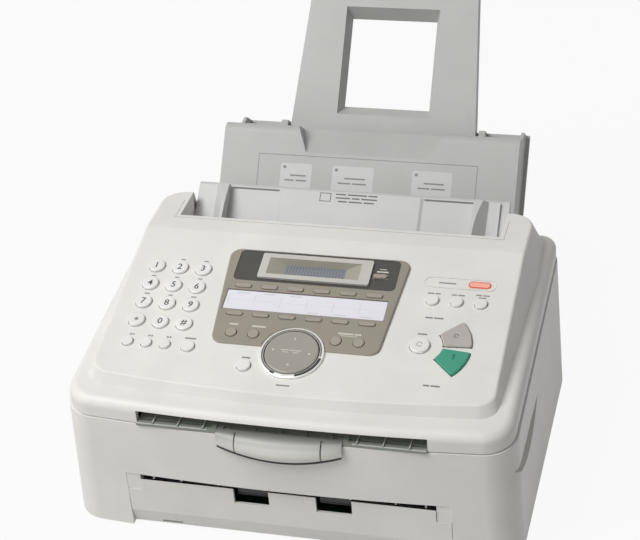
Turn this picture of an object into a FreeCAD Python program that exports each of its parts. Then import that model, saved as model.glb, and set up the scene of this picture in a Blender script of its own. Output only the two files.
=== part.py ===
import FreeCAD, Part
import Sketcher
import math
import os
import re

# Driving sizes in millimetres and degrees.
SIZES = {
    # overall
    "overall_depth": 502,
    "body_width": 370,
    "side_draft": 5,
    "body_depth": 262,
    "wall": 2.8,
    "fit_gap": 0.4,
    "run_gap": 0.4,
    "bore_gap": 0.06,
    "ground_gap": 2,
    "front_bow": 6,
    "front_corner": 26,
    "rear_corner": 14,
    "seam_front": 107.4,
    "seam_rear": 129.5,
    "seam_gap": 1.2,
    # front recess, slots and grips of the lower housing
    "recess_half": 132.6,
    "recess_top": 56.3,
    "recess_depth": 12,
    "tab_width": 12,
    "tab_height": 16,
    "slot_half": 116,
    "slot_floor": 107.6,
    "slot_top": 120,
    "grip_centre": 70,
    "grip_length": 100,
    "grip_top": 84,
    "grip_drop": 19,
    "grip_depth": 13,
    "rear_opening_half": 142,
    "rear_opening_bottom": 24,
    "arm_notch_half": 160,
    "arm_notch_bottom": 104,
    "vent_start": 150,
    "vent_pitch": 9,
    "vent_width": 4,
    "vent_bottom": 36,
    "vent_height": 38,
    # exit panel and exit rollers
    "exit_gap": 4.8,
    "exit_face": 3.6,
    "exit_fold_height": 17.5,
    "exit_fold_face": 4.6,
    "exit_foot_face": 9.5,
    "exit_plate": 2.4,
    "notch_width": 29,
    "notch_drop": 15,
    "notch_shift": 5,
    "notch_half_pitch": 33.7,
    "hook_width": 17,
    "hook_height": 2.4,
    "hook_left": 100,
    "exit_axis_depth": 17,
    "exit_axis_height": 45,
    "exit_roller_radius": 7.5,
    "exit_roller_width": 25,
    "exit_shaft_radius": 3,
    # base pan, feet and frames
    "pan_thickness": 2.5,
    "foot_radius": 9,
    "foot_height": 3,
    "foot_half_pitch": 150,
    "foot_front": 30,
    "foot_rear": 235,
    "post_radius": 4,
    "board_height": 14,
    "board_thickness": 1.6,
    "board_half": 120,
    "supply_front": 30,
    "supply_rear": 130,
    "logic_front": 142,
    "logic_rear": 244,
    "frame_inner": 138,
    "frame_thickness": 1.6,
    "frame_front": 12,
    "frame_rear": 246,
    "frame_top_front": 98,
    "frame_top_rear": 106,
    # fixing and imaging
    "fuser_front": 40,
    "fuser_rear": 90,
    "fuser_bottom": 32,
    "fuser_top": 92,
    "fuser_wall": 3,
    "fuser_axis_depth": 65,
    "nip_height": 59.5,
    "fuser_roller_radius": 12,
    "fuser_shaft_radius": 5,
    "roller_half": 118,
    "drum_depth": 128,
    "drum_radius": 12,
    "drum_shaft_radius": 3,
    "transfer_radius": 8,
    "cartridge_front": 106,
    "cartridge_rear": 184,
    "cartridge_bottom": 64,
    "cartridge_top": 102,
    "cartridge_half": 122,
    "cartridge_peg_radius": 5,
    "cartridge_peg_depth": 166,
    "cartridge_peg_height": 90,
    "cartridge_grip_half": 40,
    "laser_front": 192,
    "laser_rear": 238,
    "laser_bottom": 66,
    "laser_top": 104,
    "laser_half": 112,
    "laser_window_half": 60,
    "motor_depth": 150,
    "motor_height": 38,
    "motor_radius": 20,
    "motor_length": 24,
    "motor_shaft_radius": 4,
    # rear feed housing, sockets and cover hinge
    "cheek_inner": 135.4,
    "cheek_outer": 146,
    "feed_rear": 336,
    "feed_top": 72.5,
    "deck_height": 118,
    "deck_rear": 282.2,
    "hinge_depth": 268,
    "hinge_height": 124,
    "hinge_eye_radius": 9,
    "cheek_crest": 8,
    "hinge_pin_radius": 4,
    "arm_inner": 146.6,
    "arm_outer": 157,
    "pin_inner": 138,
    "inlet_shift": 108,
    "inlet_width": 28,
    "inlet_height": 20,
    "inlet_base": 22,
    "inlet_length": 24,
    "socket_shift": 92,
    "socket_pitch": 20,
    "socket_width": 14,
    "socket_height": 13,
    "socket_base": 24,
    "socket_length": 16,
    "socket_mouth": 9,
    # paper tray and paper support
    "tray_depth": 322,
    "tray_height": 164,
    "tray_lean": 39,
    "tray_half": 135,
    "tray_low": -110,
    "tray_top": 36,
    "tray_lip": 25,
    "tray_lip_radius": 9,
    "tray_back_top": 48,
    "tray_back_face": 61.5,
    "scoop_half_top": 67,
    "scoop_half_low": 57,
    "scoop_low": 11,
    "scoop_back": 20,
    "support_face": 48.6,
    "support_thickness": 12.5,
    "support_low": 10,
    "support_half_low": 89,
    "support_half_top": 77,
    "support_skin": 2.4,
    "support_corner": 12,
    "window_half": 44,
    "window_low": 56.5,
    "window_top": 158,
    "window_rise": 9,
    "window_side": 4,
    "rail_width": 6,
    "rail_drop": 60,
    "pickup_back": 21,
    "pickup_up": -88,
    "pickup_radius": 13,
    "pickup_half": 40,
    "pickup_shaft_radius": 4,
    # top cover
    "cover_inset": 0.6,
    "shoulder_front": 124.6,
    "shoulder_rear": 149,
    "shoulder_radius": 8,
    "cover_skin": 5,
    "cover_open_half": 156,
    "cover_open_front": 37,
    # control panel, in its own sloping frame
    "panel_front": 32,
    "panel_front_height": 134.3,
    "panel_slope": 13.5,
    "panel_length": 162,
    "panel_half": 162,
    "panel_rear": 250,
    "panel_corner": 16,
    "panel_rear_corner": 20,
    "panel_draft": 19,
    "panel_front_draft": 56,
    "panel_bow": 7.2,
    "panel_skirt": 46,
    "panel_edge_radius": 2.5,
    "entry_half": 138.6,
    "entry_front": 211,
    "entry_wall_drop": 34,
    # fascia, display and card
    "fascia_middle": -3.5,
    "fascia_half_top": 77,
    "fascia_half_low": 68.4,
    "fascia_top": 142.6,
    "fascia_low": 39.6,
    "fascia_rise": 2,
    "fascia_corner": 9,
    "fascia_edge_radius": 1,
    "fascia_rim": 4,
    "bezel_left": -51,
    "bezel_right": 42.5,
    "bezel_low": 111,
    "bezel_top": 138,
    "bezel_rise": 1.4,
    "mouth_left": -44.5,
    "mouth_right": 33.4,
    "mouth_low": 115.4,
    "mouth_top": 133.5,
    "glass_left": -31,
    "glass_right": 20,
    "glass_low": 117,
    "glass_top": 131,
    "glass_drop": 2.5,
    "collar_wall": 1.2,
    "strip_left": -71,
    "strip_right": 65,
    "strip_low": 107.3,
    "strip_top": 141,
    "strip_corner": 4.5,
    "strip_depth": 0.6,
    "module_depth": 5,
    "card_left": -71,
    "card_right": 62,
    "card_low": 75.4,
    "card_top": 95.5,
    "card_thickness": 0.7,
    # keys
    "key_gap": 0.45,
    "key_rise": 2.2,
    "key_round": 0.9,
    "key_flange": 1.2,
    "key_flange_depth": 1.2,
    "dial_left": -139,
    "dial_low": 56,
    "dial_pitch": 20.2,
    "dial_key_radius": 6.8,
    "function_row": 33,
    "function_left": -140,
    "function_pitch": 15.7,
    "function_radius": 4.5,
    "monitor_shift": -89.3,
    "monitor_radius": 5.5,
    "lower_key_shift": -39,
    "lower_key_row": 18.5,
    "lower_key_radius": 5.5,
    "mode_left": 96.8,
    "mode_pitch": 19.55,
    "mode_row": 102.5,
    "mode_radius": 5,
    "stop_shift": 95.3,
    "stop_row": 54.5,
    "stop_radius": 8,
    "fan_inner": 18.3,
    "fan_outer": 41,
    "copy_start": 3,
    "copy_end": 42,
    "send_start": -43,
    "send_end": -5,
    "fan_corner": 2.5,
    "fan_flange": 0.9,
    "station_left": -59.5,
    "station_pitch": 21.9,
    "station_upper": 101,
    "station_lower": 70.5,
    "station_width": 13.4,
    "station_height": 3.8,
    "menu_row": 50.3,
    "menu_outer": 52.3,
    "menu_inner": 33.8,
    "menu_centre": -4.9,
    "menu_radius": 4.4,
    "display_key_shift": 50.2,
    "display_key_row": 122.6,
    "display_key_width": 11.4,
    "display_key_height": 4.2,
    "carrier_depth": 3,
    "carrier_thickness": 1,
    "carrier_margin": 3,
    # navigator, lamp and key board
    "dial_shift": -3.4,
    "dial_row": 34.6,
    "disc_radius": 21.7,
    "disc_rise": 3.2,
    "disc_dome": 1.2,
    "ring_inner": 22.6,
    "ring_outer": 26,
    "ring_rise": 2.4,
    "ring_skirt": 6,
    "ring_wall": 2,
    "ring_round": 1,
    "disc_stem_radius": 4,
    "disc_dish": 0.5,
    "disc_pin_radius": 1.2,
    "disc_pin_drop": 3.8,
    "lamp_shift": 131.7,
    "lamp_row": 122.7,
    "lamp_width": 18,
    "lamp_height": 6.4,
    "lamp_rise": 0.8,
    "lamp_depth": 5,
    "pill_left": 86.8,
    "pill_right": 145.7,
    "pill_height": 11.5,
    "pill_groove": 0.8,
    "pill_cut": 0.5,
    "keyboard_depth": 9.5,
    "keyboard_half": 150,
    "keyboard_low": 6,
    "keyboard_top": 148,
    # document path
    "chute_half": 173.4,
    "chute_front": 1.4,
    "chute_flat": 34,
    "chute_floor": 110.2,
    "chute_rear": 204,
    "chute_rear_height": 120,
    "chute_plate": 2.2,
    "chute_wall_inner": 166,
    "chute_wall_front": 60,
    "chute_wall_rear": 200,
    "rib_pitch": 20.5,
    "rib_width": 1,
    "rib_rise": 1.3,
    "feed_axis_depth": 193,
    "feed_axis_height": 131,
    "feed_radius": 9,
    "feed_half": 60,
    "feed_shaft_radius": 3,
    "feed_block": 6,
    "lever_half": 50.3,
    "lever_reach": 10,
    "lever_end_reach": 3,
    "lever_low": 90,
    "lever_end_low": 98.6,
    "lever_nose": 0.45,
    "lever_curve": 0.75,
    "lever_back": 4.5,
    "lever_axis": 7,
    "lever_lug": 5,
    "lever_bearing": 4,
    "lever_plate": 2.6,
    "lever_pivot_radius": 1.2,
    "slit_shift": 34.5,
    "slit_width": 1.2,
    "slit_end": 0.8,
    "slit_eye_radius": 1.3,
    # document tray and guides
    "feeder_depth": 266,
    "feeder_height": 171.4,
    "feeder_lean": 50,
    "feeder_length": 72,
    "feeder_plate": 3,
    "feeder_rear": 269,
    "feeder_rear_low": 129,
    "feeder_pad_half": 61,
    "feeder_pad_rise": 1.2,
    "guide_face": 108.4,
    "guide_foot": 22,
    "guide_fin": 12,
    "guide_rise": 15,
    "guide_plate": 2,
    "guide_low": -58,
    "guide_top": -1,
    "guide_tip": 7,
    "guide_curve": 90,
}

doc = FreeCAD.newDocument("fax_machine")
sheet = doc.addObject("Spreadsheet::Sheet", "dims")
for row, (alias, value) in enumerate(SIZES.items(), 1):
    sheet.set(f"A{row}", alias)
    sheet.set(f"B{row}", str(value))
    sheet.setAlias(f"B{row}", alias)
doc.recompute()

WORD = re.compile(r"[a-z_][a-z_0-9]*")
BODY = ("0", "0", "0")
PANEL = ("panel_front", "panel_front_height", "panel_slope")
TRAY = ("tray_depth", "tray_height", "-tray_lean")
FEEDER = ("feeder_depth", "feeder_height", "-feeder_lean")
PLANES = {"plan": "XY_Plane", "face": "XZ_Plane", "side": "YZ_Plane"}
X_AXIS = FreeCAD.Vector(1, 0, 0)
FAR = "400"
MOST_EDGES = 20
CHAMFER = "PartDesign::Chamfer"


def full(formula):
    """Turn the size names of a formula into cells of the sheet."""
    return WORD.sub(lambda m: "dims." + m[0] if m[0] in SIZES else m[0], str(formula))


def num(formula):
    return float(sheet.evalExpression(full(formula)))


def neg(formula):
    return f"-({formula})"


def into(frame, depth, height):
    """Coordinates in a tilted frame of a point given by depth and height on the body."""
    d, h, tilt = frame
    along = f"(({depth}) - ({d})) * cos({tilt}) + (({height}) - ({h})) * sin({tilt})"
    above = f"(({height}) - ({h})) * cos({tilt}) - (({depth}) - ({d})) * sin({tilt})"
    return along, above


def rect(u0, v0, u1, v1):
    return [(u0, v0), (u1, v0), (u1, v1), (u0, v1)]


def rounded(u0, v0, u1, v1, r):
    return [
        (f"({u0}) + {r}", v0), (f"({u1}) - {r}", v0),
        (u1, f"({v0}) + {r}", r), (u1, f"({v1}) - {r}"),
        (f"({u1}) - {r}", v1, r), (f"({u0}) + {r}", v1),
        (u0, f"({v1}) - {r}", r), (u0, f"({v0}) + {r}"),
        (f"({u0}) + {r}", v0, r),
    ]


def circle(u, v, r):
    return ("circle", u, v, r)


def pill(u, v, length, height, grow="0"):
    half_u = f"(({length}) / 2 + {grow})"
    half_v = f"(({height}) / 2 + {grow})"
    return rounded(f"({u}) - {half_u}", f"({v}) - {half_v}", f"({u}) + {half_u}",
                   f"({v}) + {half_v}", f"({half_v} * 0.96)")


def sector(start, end, grow="0"):
    """Ring sector round the stop key."""
    inner = f"(fan_inner - {grow})"
    outer = f"(fan_outer + {grow})"

    def at(radius, angle, side):
        u = f"stop_shift + {radius} * cos({angle}) - {side} * {grow} * sin({angle})"
        v = f"stop_row + {radius} * sin({angle}) + {side} * {grow} * cos({angle})"
        return u, v
    return [
        at(inner, start, "-1"), at(outer, start, "-1"),
        at(outer, end, "1") + (outer,), at(inner, end, "1"),
        at(inner, start, "-1") + (f"-{inner}",),
    ]


def bend(start, stop, radius):
    """Arc between two spots; a negative radius bends it inwards."""
    chord = stop - start
    left = FreeCAD.Vector(-chord.y, chord.x, 0).normalize()
    rise = abs(radius) - math.sqrt(max(radius ** 2 - (chord.Length / 2) ** 2, 0))
    middle = (start + stop) * 0.5 - left * math.copysign(rise, radius)
    return Part.Arc(start, middle, stop)


def draw(sketch, loops):
    """Draw closed loops whose corners are tied to the sheet."""
    shapes, ties, joins = [], [], []
    for loop in loops:
        if loop[0] == "circle":
            u, v, r = loop[1:]
            geo = len(shapes)
            centre = FreeCAD.Vector(num(u), num(v), 0)
            shapes.append(Part.Circle(centre, FreeCAD.Vector(0, 0, 1), num(r)))
            ties += [(("DistanceX", geo, 3), u), (("DistanceY", geo, 3), v), (("Radius", geo), r)]
            continue
        corners = [(point[0], point[1]) for point in loop]
        arcs = [point[2] if len(point) == 3 else None for point in loop]
        if corners[-1] == corners[0]:
            corners.pop()
            arcs[0] = arcs.pop()
        spots = [FreeCAD.Vector(num(u), num(v), 0) for u, v in corners]
        ends = []
        for i, start in enumerate(spots):
            j = (i + 1) % len(spots)
            geo = len(shapes)
            if arcs[j] is None:
                shapes.append(Part.LineSegment(start, spots[j]))
                ends.append((geo, 1, 2))
                continue
            radius = num(arcs[j])
            shapes.append(bend(start, spots[j], radius))
            ends.append((geo, 1, 2) if radius > 0 else (geo, 2, 1))
            ties.append((("Radius", geo), f"abs({arcs[j]})"))
        for i, (geo, first, last) in enumerate(ends):
            after = ends[(i + 1) % len(ends)]
            joins.append(Sketcher.Constraint("Coincident", geo, last, after[0], after[1]))
            ties += [(("DistanceX", geo, first), corners[i][0]), (("DistanceY", geo, first), corners[i][1])]
    sketch.addGeometry(shapes, False)
    sketch.addConstraint(joins + [Sketcher.Constraint(*where, num(formula)) for where, formula in ties])
    for index, (where, formula) in enumerate(ties, len(joins)):
        sketch.setExpression(f"Constraints[{index}]", full(formula))


def batches(loops):
    """Share the loops of one feature out over sketches small enough to solve quickly."""
    shared, edges = [[]], 0
    for loop in loops:
        count = 1 if loop[0] == "circle" else len(loop)
        if edges + count > MOST_EDGES and shared[-1]:
            shared.append([])
            edges = 0
        shared[-1].append(loop)
        edges += count
    return shared


class Piece:
    """One sub-part: a body placed in a frame and built up feature by feature."""

    def __init__(self, label, frame=BODY, at=("0", "0", "0")):
        self.body = doc.addObject("PartDesign::Body", label)
        self.body.Label = label
        self.label = label
        self.count = 0
        self.last = None
        depth, height, tilt = frame
        x, y, z = at
        base_y = f"lever_reach - overall_depth / 2 + ({depth})"
        shift_y = f"{base_y} + ({y}) * cos({tilt}) - ({z}) * sin({tilt})"
        shift_z = f"({height}) + ({y}) * sin({tilt}) + ({z}) * cos({tilt})"
        if frame is not BODY:
            turn = FreeCAD.Rotation(X_AXIS, num(tilt))
            self.body.Placement = FreeCAD.Placement(FreeCAD.Vector(), turn)
            self.body.setExpression("Placement.Rotation.Angle", full(tilt))
        self.body.setExpression("Placement.Base.x", full(x))
        self.body.setExpression("Placement.Base.y", full(shift_y))
        self.body.setExpression("Placement.Base.z", full(shift_z))

    def sketch(self, loops, view, level, tilt=None, away=None):
        self.count += 1
        sketch = self.body.newObject("Sketcher::SketchObject", f"{self.label}_outline{self.count}")
        plane = [f for f in self.body.Origin.OriginFeatures if f.Role == PLANES[view]][0]
        sketch.AttachmentSupport = [(plane, "")]
        sketch.MapMode = "FlatFace"
        if tilt is not None:
            turn = FreeCAD.Rotation(X_AXIS, num(tilt))
            sketch.AttachmentOffset = FreeCAD.Placement(FreeCAD.Vector(), turn)
            sketch.setExpression("AttachmentOffset.Rotation.Angle", full(tilt))
            sketch.setExpression("AttachmentOffset.Base.y", full(away))
        sketch.setExpression("AttachmentOffset.Base.z", full(level))
        draw(sketch, loops)
        return sketch

    def extrude(self, kind, loops, view, low, high):
        start = neg(high) if view == "face" else low
        for batch in batches(loops):
            sketch = self.sketch(batch, view, start)
            feature = self.body.newObject(kind, f"{self.label}_{kind[12:].lower()}{self.count}")
            feature.Profile = sketch
            feature.setExpression("Length", full(f"({high}) - ({low})"))
            feature.Reversed = kind == "PartDesign::Pocket"
            self.last = feature

    def pad(self, loops, view, low, high):
        self.extrude("PartDesign::Pad", loops, view, low, high)

    def pocket(self, loops, view, low, high):
        self.extrude("PartDesign::Pocket", loops, view, low, high)

    def loft(self, kind, first, *others, ruled=True):
        feature = self.body.newObject(kind, f"{self.label}_loft{self.count}")
        feature.Profile = first
        feature.Sections = list(others)
        feature.Ruled = ruled
        self.last = feature
        return feature

    def turn(self, loops, kind="PartDesign::Revolution", view="face", axis="V_Axis"):
        sketch = self.sketch(loops, view, "0")
        feature = self.body.newObject(kind, f"{self.label}_turn{self.count}")
        feature.Profile = sketch
        feature.ReferenceAxis = (sketch, [axis])
        feature.Angle = 360
        self.last = feature
        return feature

    def rod(self, radius, x0, x1, y, z):
        """Round bar along the width."""
        return self.pad([circle(y, z, radius)], "side", x0, x1)

    def round(self, radius, chosen, kind="PartDesign::Fillet"):
        doc.recompute()
        shape = self.last.Shape
        edges = [f"Edge{i}" for i, e in enumerate(shape.Edges, 1) if chosen(e)]
        if not edges:
            raise RuntimeError(f"no edge to round on {self.label}")
        feature = self.body.newObject(kind, f"{self.label}_edge{self.count}")
        feature.Base = (self.last, edges)
        size = "Radius" if kind.endswith("Fillet") else "Size"
        feature.setExpression(size, full(radius))
        self.count += 1
        self.last = feature
        return feature


def span(edge):
    box = edge.BoundBox
    return box.XLength, box.YLength, box.ZLength


def upright(edge):
    x, y, z = span(edge)
    return x < 1e-4 and y < 1e-4 and z > 0


def level_at(height):
    """Edges that lie flat at a height of the piece's own frame."""
    z = num(height)
    return lambda e: abs(e.BoundBox.ZMin - z) < 1e-4 and abs(e.BoundBox.ZMax - z) < 1e-4


def hull(inset, notch=None, draft="0"):
    """Plan outline of the machine, drawn in from its outer face and more at the sides by a draft."""
    half = f"(body_width / 2 - {inset} - {draft})"
    corner = f"(front_corner - {inset})"
    back = f"(rear_corner - {inset})"
    rear = f"(body_depth - {inset})"
    front = f"(front_bow + {inset})"
    straight = f"({half} - {corner})"
    bow = f"(({straight}^2 + front_bow^2) / (2 * front_bow))"
    points = [(neg(straight), front)]
    if notch is None:
        points.append((straight, front, bow))
    else:
        side, depth = notch
        points += [(neg(side), front), (neg(side), depth), (side, depth), (side, front), (straight, front)]
    points += [
        (half, f"{front} + {corner}", corner), (half, f"{rear} - {back}"),
        (f"{half} - {back}", rear, back), (f"{back} - {half}", rear),
        (neg(half), f"{rear} - {back}", back), (neg(half), f"{front} + {corner}"),
        (neg(straight), front, corner),
    ]
    return points


def slope_line(front, rear, depth):
    return f"({front} + ({rear} - {front}) * ({depth}) / body_depth)"


def above(front, rear, lift="0"):
    """Side view area over a line that rises from the front to the rear."""
    ahead, behind = "(-20)", "(body_depth + 20)"
    return [
        (ahead, f"{slope_line(front, rear, ahead)} + {lift}"),
        (behind, f"{slope_line(front, rear, behind)} + {lift}"),
        (behind, "300"), (ahead, "300"),
    ]


def below(front, rear, lift="0"):
    ahead, behind = "(-80)", "(body_depth + 20)"
    return [
        (ahead, "0"), (behind, "0"),
        (behind, f"{slope_line(front, rear, behind)} + {lift}"),
        (ahead, f"{slope_line(front, rear, ahead)} + {lift}"),
    ]


pieces = []


def piece(label, frame=BODY, at=("0", "0", "0")):
    made = Piece(label, frame, at)
    pieces.append(made)
    return made


# Lower housing: one moulding with the front recess, side grips, vents and rear opening.
HALF = "(body_width / 2)"
TOP_HALF = f"({HALF} - side_draft)"
HOUSING_TOP = "(seam_rear + 10)"


def drawn_in(height):
    """How far the drafted sides have come in at a height."""
    return f"(side_draft * (({height}) - ground_gap) / ({HOUSING_TOP} - ground_gap))"


housing = piece("lower_housing")


def drafted(kind, inset, low, high, notch=None):
    sections = [housing.sketch([hull(inset, notch, drawn_in(z))], "plan", z) for z in (low, high)]
    housing.loft(kind, *sections)


drafted("PartDesign::AdditiveLoft", "0", "ground_gap", HOUSING_TOP)
recess_side = "(recess_half + wall)"
drafted("PartDesign::SubtractiveLoft", "wall", "0", "recess_top + wall", (recess_side, "recess_depth"))
drafted("PartDesign::SubtractiveLoft", "wall", "recess_top + wall - 0.01", f"{HOUSING_TOP} + 1")
housing.pocket([above("seam_front", "seam_rear")], "side", neg(FAR), FAR)
housing.pocket([rect("-slot_half - 1", "slot_floor", "slot_half + 1", FAR)], "face", "-20", "recess_depth")
housing.pocket([rect("-recess_half", "0", "recess_half", "recess_top")], "face", "-20", "recess_depth + 1")
tab_low = "recess_top - tab_height"
tab_in = "recess_half - tab_width"
tabs = [rect(tab_in, tab_low, "recess_half + 1", "recess_top + 1"),
        rect("-recess_half - 1", tab_low, neg(tab_in), "recess_top + 1")]
housing.pad(tabs, "face", "front_bow - 1.4", "recess_depth")
grip_half = "(grip_length / 2)"


def half_moon(grow):
    """Side view outline of a hand grip."""
    reach = f"({grip_half} + {grow})"
    low = f"(grip_centre - {reach})"
    high = f"(grip_centre + {reach})"
    drop = f"(grip_drop + {grow})"
    curve = f"(({reach}^2 + {drop}^2) / (2 * {drop}))"
    return [(low, f"grip_top + {grow}"), (low, "grip_top"), (high, "grip_top", curve),
            (high, f"grip_top + {grow}")]


GRIP_SIDE = f"({HALF} - {drawn_in('grip_top')} - wall / 2)"
GRIP_INNER = f"({HALF} - grip_depth - wall)"
GRIP_FRONT = f"(grip_centre - {grip_half} - wall)"
GRIP_REAR = f"(grip_centre + {grip_half} + wall)"
CORNER_END = "(front_bow + front_corner)"
CORNER = "(front_corner - wall / 2)"
CORNER_SIDE = f"({GRIP_SIDE} - {CORNER} + sqrt({CORNER}^2 - ({CORNER_END} - {GRIP_FRONT})^2))"
right_block = [(GRIP_INNER, GRIP_FRONT), (CORNER_SIDE, GRIP_FRONT), (GRIP_SIDE, CORNER_END, CORNER),
               (GRIP_SIDE, GRIP_REAR), (GRIP_INNER, GRIP_REAR)]
left_block = [(neg(GRIP_INNER), GRIP_REAR), (neg(GRIP_SIDE), GRIP_REAR), (neg(GRIP_SIDE), CORNER_END),
              (neg(CORNER_SIDE), GRIP_FRONT, CORNER), (neg(GRIP_INNER), GRIP_FRONT)]
housing.pad([right_block, left_block], "plan", "grip_top - grip_drop - wall", "grip_top + wall")
housing.pocket([half_moon("0.001")], "side", f"{HALF} - grip_depth", f"{HALF} + 1")
housing.pocket([half_moon("0.001")], "side", f"-{HALF} - 1", f"grip_depth - {HALF}")
VENTS = 9
vents = []
for i in range(VENTS):
    start = f"(vent_start + {i} * vent_pitch)"
    vents.append(rect(start, "vent_bottom", f"{start} + vent_width", "vent_bottom + vent_height"))
housing.pocket(vents, "side", f"-{HALF} - 1", f"3 * wall - {HALF}")
housing.pocket([rect("-rear_opening_half", "rear_opening_bottom", "rear_opening_half", FAR)],
               "face", "body_depth - 2 * wall", "body_depth + 1")
housing.pocket([rect("-arm_notch_half", "arm_notch_bottom", "arm_notch_half", FAR)],
               "face", "body_depth - 2 * wall", "body_depth + 1")

# Base pan with a tongue through the rear wall of the housing and the posts of the boards.
PAN_TOP = "(ground_gap + 1 + pan_thickness)"
housing.pocket([rect("-cheek_inner - fit_gap", "0", "cheek_inner + fit_gap", f"{PAN_TOP} + fit_gap")],
               "face", "body_depth - 2 * wall", "body_depth + 1")
pan = piece("base_pan")
pan.pad([hull("(wall + fit_gap)", ("(recess_half + wall + fit_gap)", "(recess_depth + 4)"))],
        "plan", "ground_gap + 1", PAN_TOP)
pan.pad([rect("-cheek_inner", "body_depth - 2 * rear_corner", "cheek_inner", "feed_rear - wall - fit_gap")],
        "plan", "ground_gap + 1", PAN_TOP)
posts = []
for depth in ("supply_front + 6", "supply_rear - 6", "logic_front + 6", "logic_rear - 6"):
    for side in (-1, 1):
        posts.append(circle(f"{side} * (board_half - 6)", depth, "post_radius"))
pan.pad(posts, "plan", f"{PAN_TOP} - 0.5", "board_height")

feet = piece("rubber_feet")
feet.body.AllowCompound = True
spots = []
for depth in ("foot_front", "foot_rear"):
    for side in (-1, 1):
        spots.append(circle(f"{side} * foot_half_pitch", depth, "foot_radius"))
feet.pad(spots, "plan", "0", "foot_height")

# Exit panel: a folded plate in the front recess with two roller notches and a hook slot.
EXIT_TOP = "(recess_top - exit_gap)"
exit_panel = piece("exit_panel")
exit_panel.pad([[
    ("exit_foot_face", "ground_gap + 0.6"),
    ("exit_foot_face + exit_plate", "ground_gap + 0.6"),
    ("exit_fold_face + exit_plate", "exit_fold_height"),
    ("exit_face + exit_plate", f"{EXIT_TOP} - exit_plate"),
    ("exit_face", EXIT_TOP),
    ("exit_fold_face", "exit_fold_height"),
]], "side", "fit_gap - recess_half", "recess_half - fit_gap")
cuts = []
for side in (-1, 1):
    middle = f"(notch_shift + {side} * notch_half_pitch)"
    cuts.append(rect(f"{middle} - notch_width / 2", f"{EXIT_TOP} - notch_drop",
                     f"{middle} + notch_width / 2", f"{EXIT_TOP} + 1"))
cuts.append(rect("-hook_left - hook_width / 2", "ground_gap + 2",
                 "hook_width / 2 - hook_left", "ground_gap + 2 + hook_height"))
tab_gap = "(tab_width + fit_gap)"
cuts.append(rect("-recess_half - 1", f"{tab_low} - fit_gap", f"{tab_gap} - recess_half", FAR))
cuts.append(rect(f"recess_half - {tab_gap}", f"{tab_low} - fit_gap", "recess_half + 1", FAR))
exit_panel.pocket(cuts, "face", "-20", "40")

# Metal side frames with the bores of every roller.
NIP = "nip_height"
DRUM_AXIS = ("drum_depth", f"({NIP} + drum_radius + run_gap / 2)")
TRANSFER_AXIS = ("drum_depth", f"({NIP} - transfer_radius - run_gap / 2)")
HEAT_AXIS = ("fuser_axis_depth", f"({NIP} + fuser_roller_radius + run_gap / 2)")
PRESS_AXIS = ("fuser_axis_depth", f"({NIP} - fuser_roller_radius - run_gap / 2)")
EXIT_AXIS = ("exit_axis_depth", "exit_axis_height")
frames = piece("side_frames")
frames.body.AllowCompound = True
frame_outline = [
    ("frame_front", PAN_TOP), ("frame_rear", PAN_TOP), ("frame_rear", "frame_top_rear"),
    ("cartridge_rear", "frame_top_rear"), ("frame_front + 30", "frame_top_front"),
    ("frame_front", f"{EXIT_AXIS[1]} + 14"),
]
bores = [
    circle(*DRUM_AXIS, "drum_shaft_radius + bore_gap"),
    circle(*TRANSFER_AXIS, "drum_shaft_radius + bore_gap"),
    circle(*HEAT_AXIS, "fuser_shaft_radius + bore_gap"),
    circle(*PRESS_AXIS, "fuser_shaft_radius + bore_gap"),
    circle("motor_depth", "motor_height", "motor_shaft_radius + 1"),
]
frame_out = "(frame_inner + frame_thickness)"
frames.pad([frame_outline], "side", "frame_inner", frame_out)
frames.pad([frame_outline], "side", neg(frame_out), "-frame_inner")
frames.pocket(bores, "side", neg(FAR), FAR)
exit_bore = [circle(*EXIT_AXIS, "exit_shaft_radius + bore_gap")]
frames.pocket(exit_bore, "side", neg(FAR), FAR)


def roller(label, axis, radius, half, shaft, reach, bands=None):
    """Roller with a shaft that reaches through its bearings."""
    made = piece(label)
    made.rod(shaft, neg(reach), reach, *axis)
    for low, high in bands or [(neg(half), half)]:
        made.rod(radius, low, high, *axis)
    return made


SHAFT_END = f"({frame_out} + 1.5)"
roller("photo_drum", DRUM_AXIS, "drum_radius", "roller_half", "drum_shaft_radius", SHAFT_END)
roller("transfer_roller", TRANSFER_AXIS, "transfer_radius", "roller_half", "drum_shaft_radius", SHAFT_END)
roller("heat_roller", HEAT_AXIS, "fuser_roller_radius", "roller_half", "fuser_shaft_radius", SHAFT_END)
roller("pressure_roller", PRESS_AXIS, "fuser_roller_radius", "roller_half", "fuser_shaft_radius", SHAFT_END)
bands = []
for side in (-1, 1):
    middle = f"(notch_shift + {side} * notch_half_pitch)"
    bands.append((f"{middle} - exit_roller_width / 2", f"{middle} + exit_roller_width / 2"))
roller("exit_rollers", EXIT_AXIS, "exit_roller_radius", "0", "exit_shaft_radius", SHAFT_END, bands)

# Fuser frame: a box open along the paper path, its ends clear of the roller shafts.
fuser = piece("fuser_frame")
fuser.pad([rect("fuser_front", "fuser_bottom", "fuser_rear", "fuser_top")], "side",
          "-frame_inner", "frame_inner")
fuser.pocket([rect("fuser_front + fuser_wall", "fuser_bottom + fuser_wall",
                   "fuser_rear - fuser_wall", "fuser_top - fuser_wall")], "side",
             "-roller_half - 4", "roller_half + 4")
fuser.pocket([rect("-roller_half - 2", f"{NIP} - 4", "roller_half + 2", f"{NIP} + 4")],
             "face", "fuser_front - 1", "fuser_rear + 1")
fuser.pocket([circle(*HEAT_AXIS, "fuser_shaft_radius + 1"), circle(*PRESS_AXIS, "fuser_shaft_radius + 1")],
             "side", neg(FAR), FAR)

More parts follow.
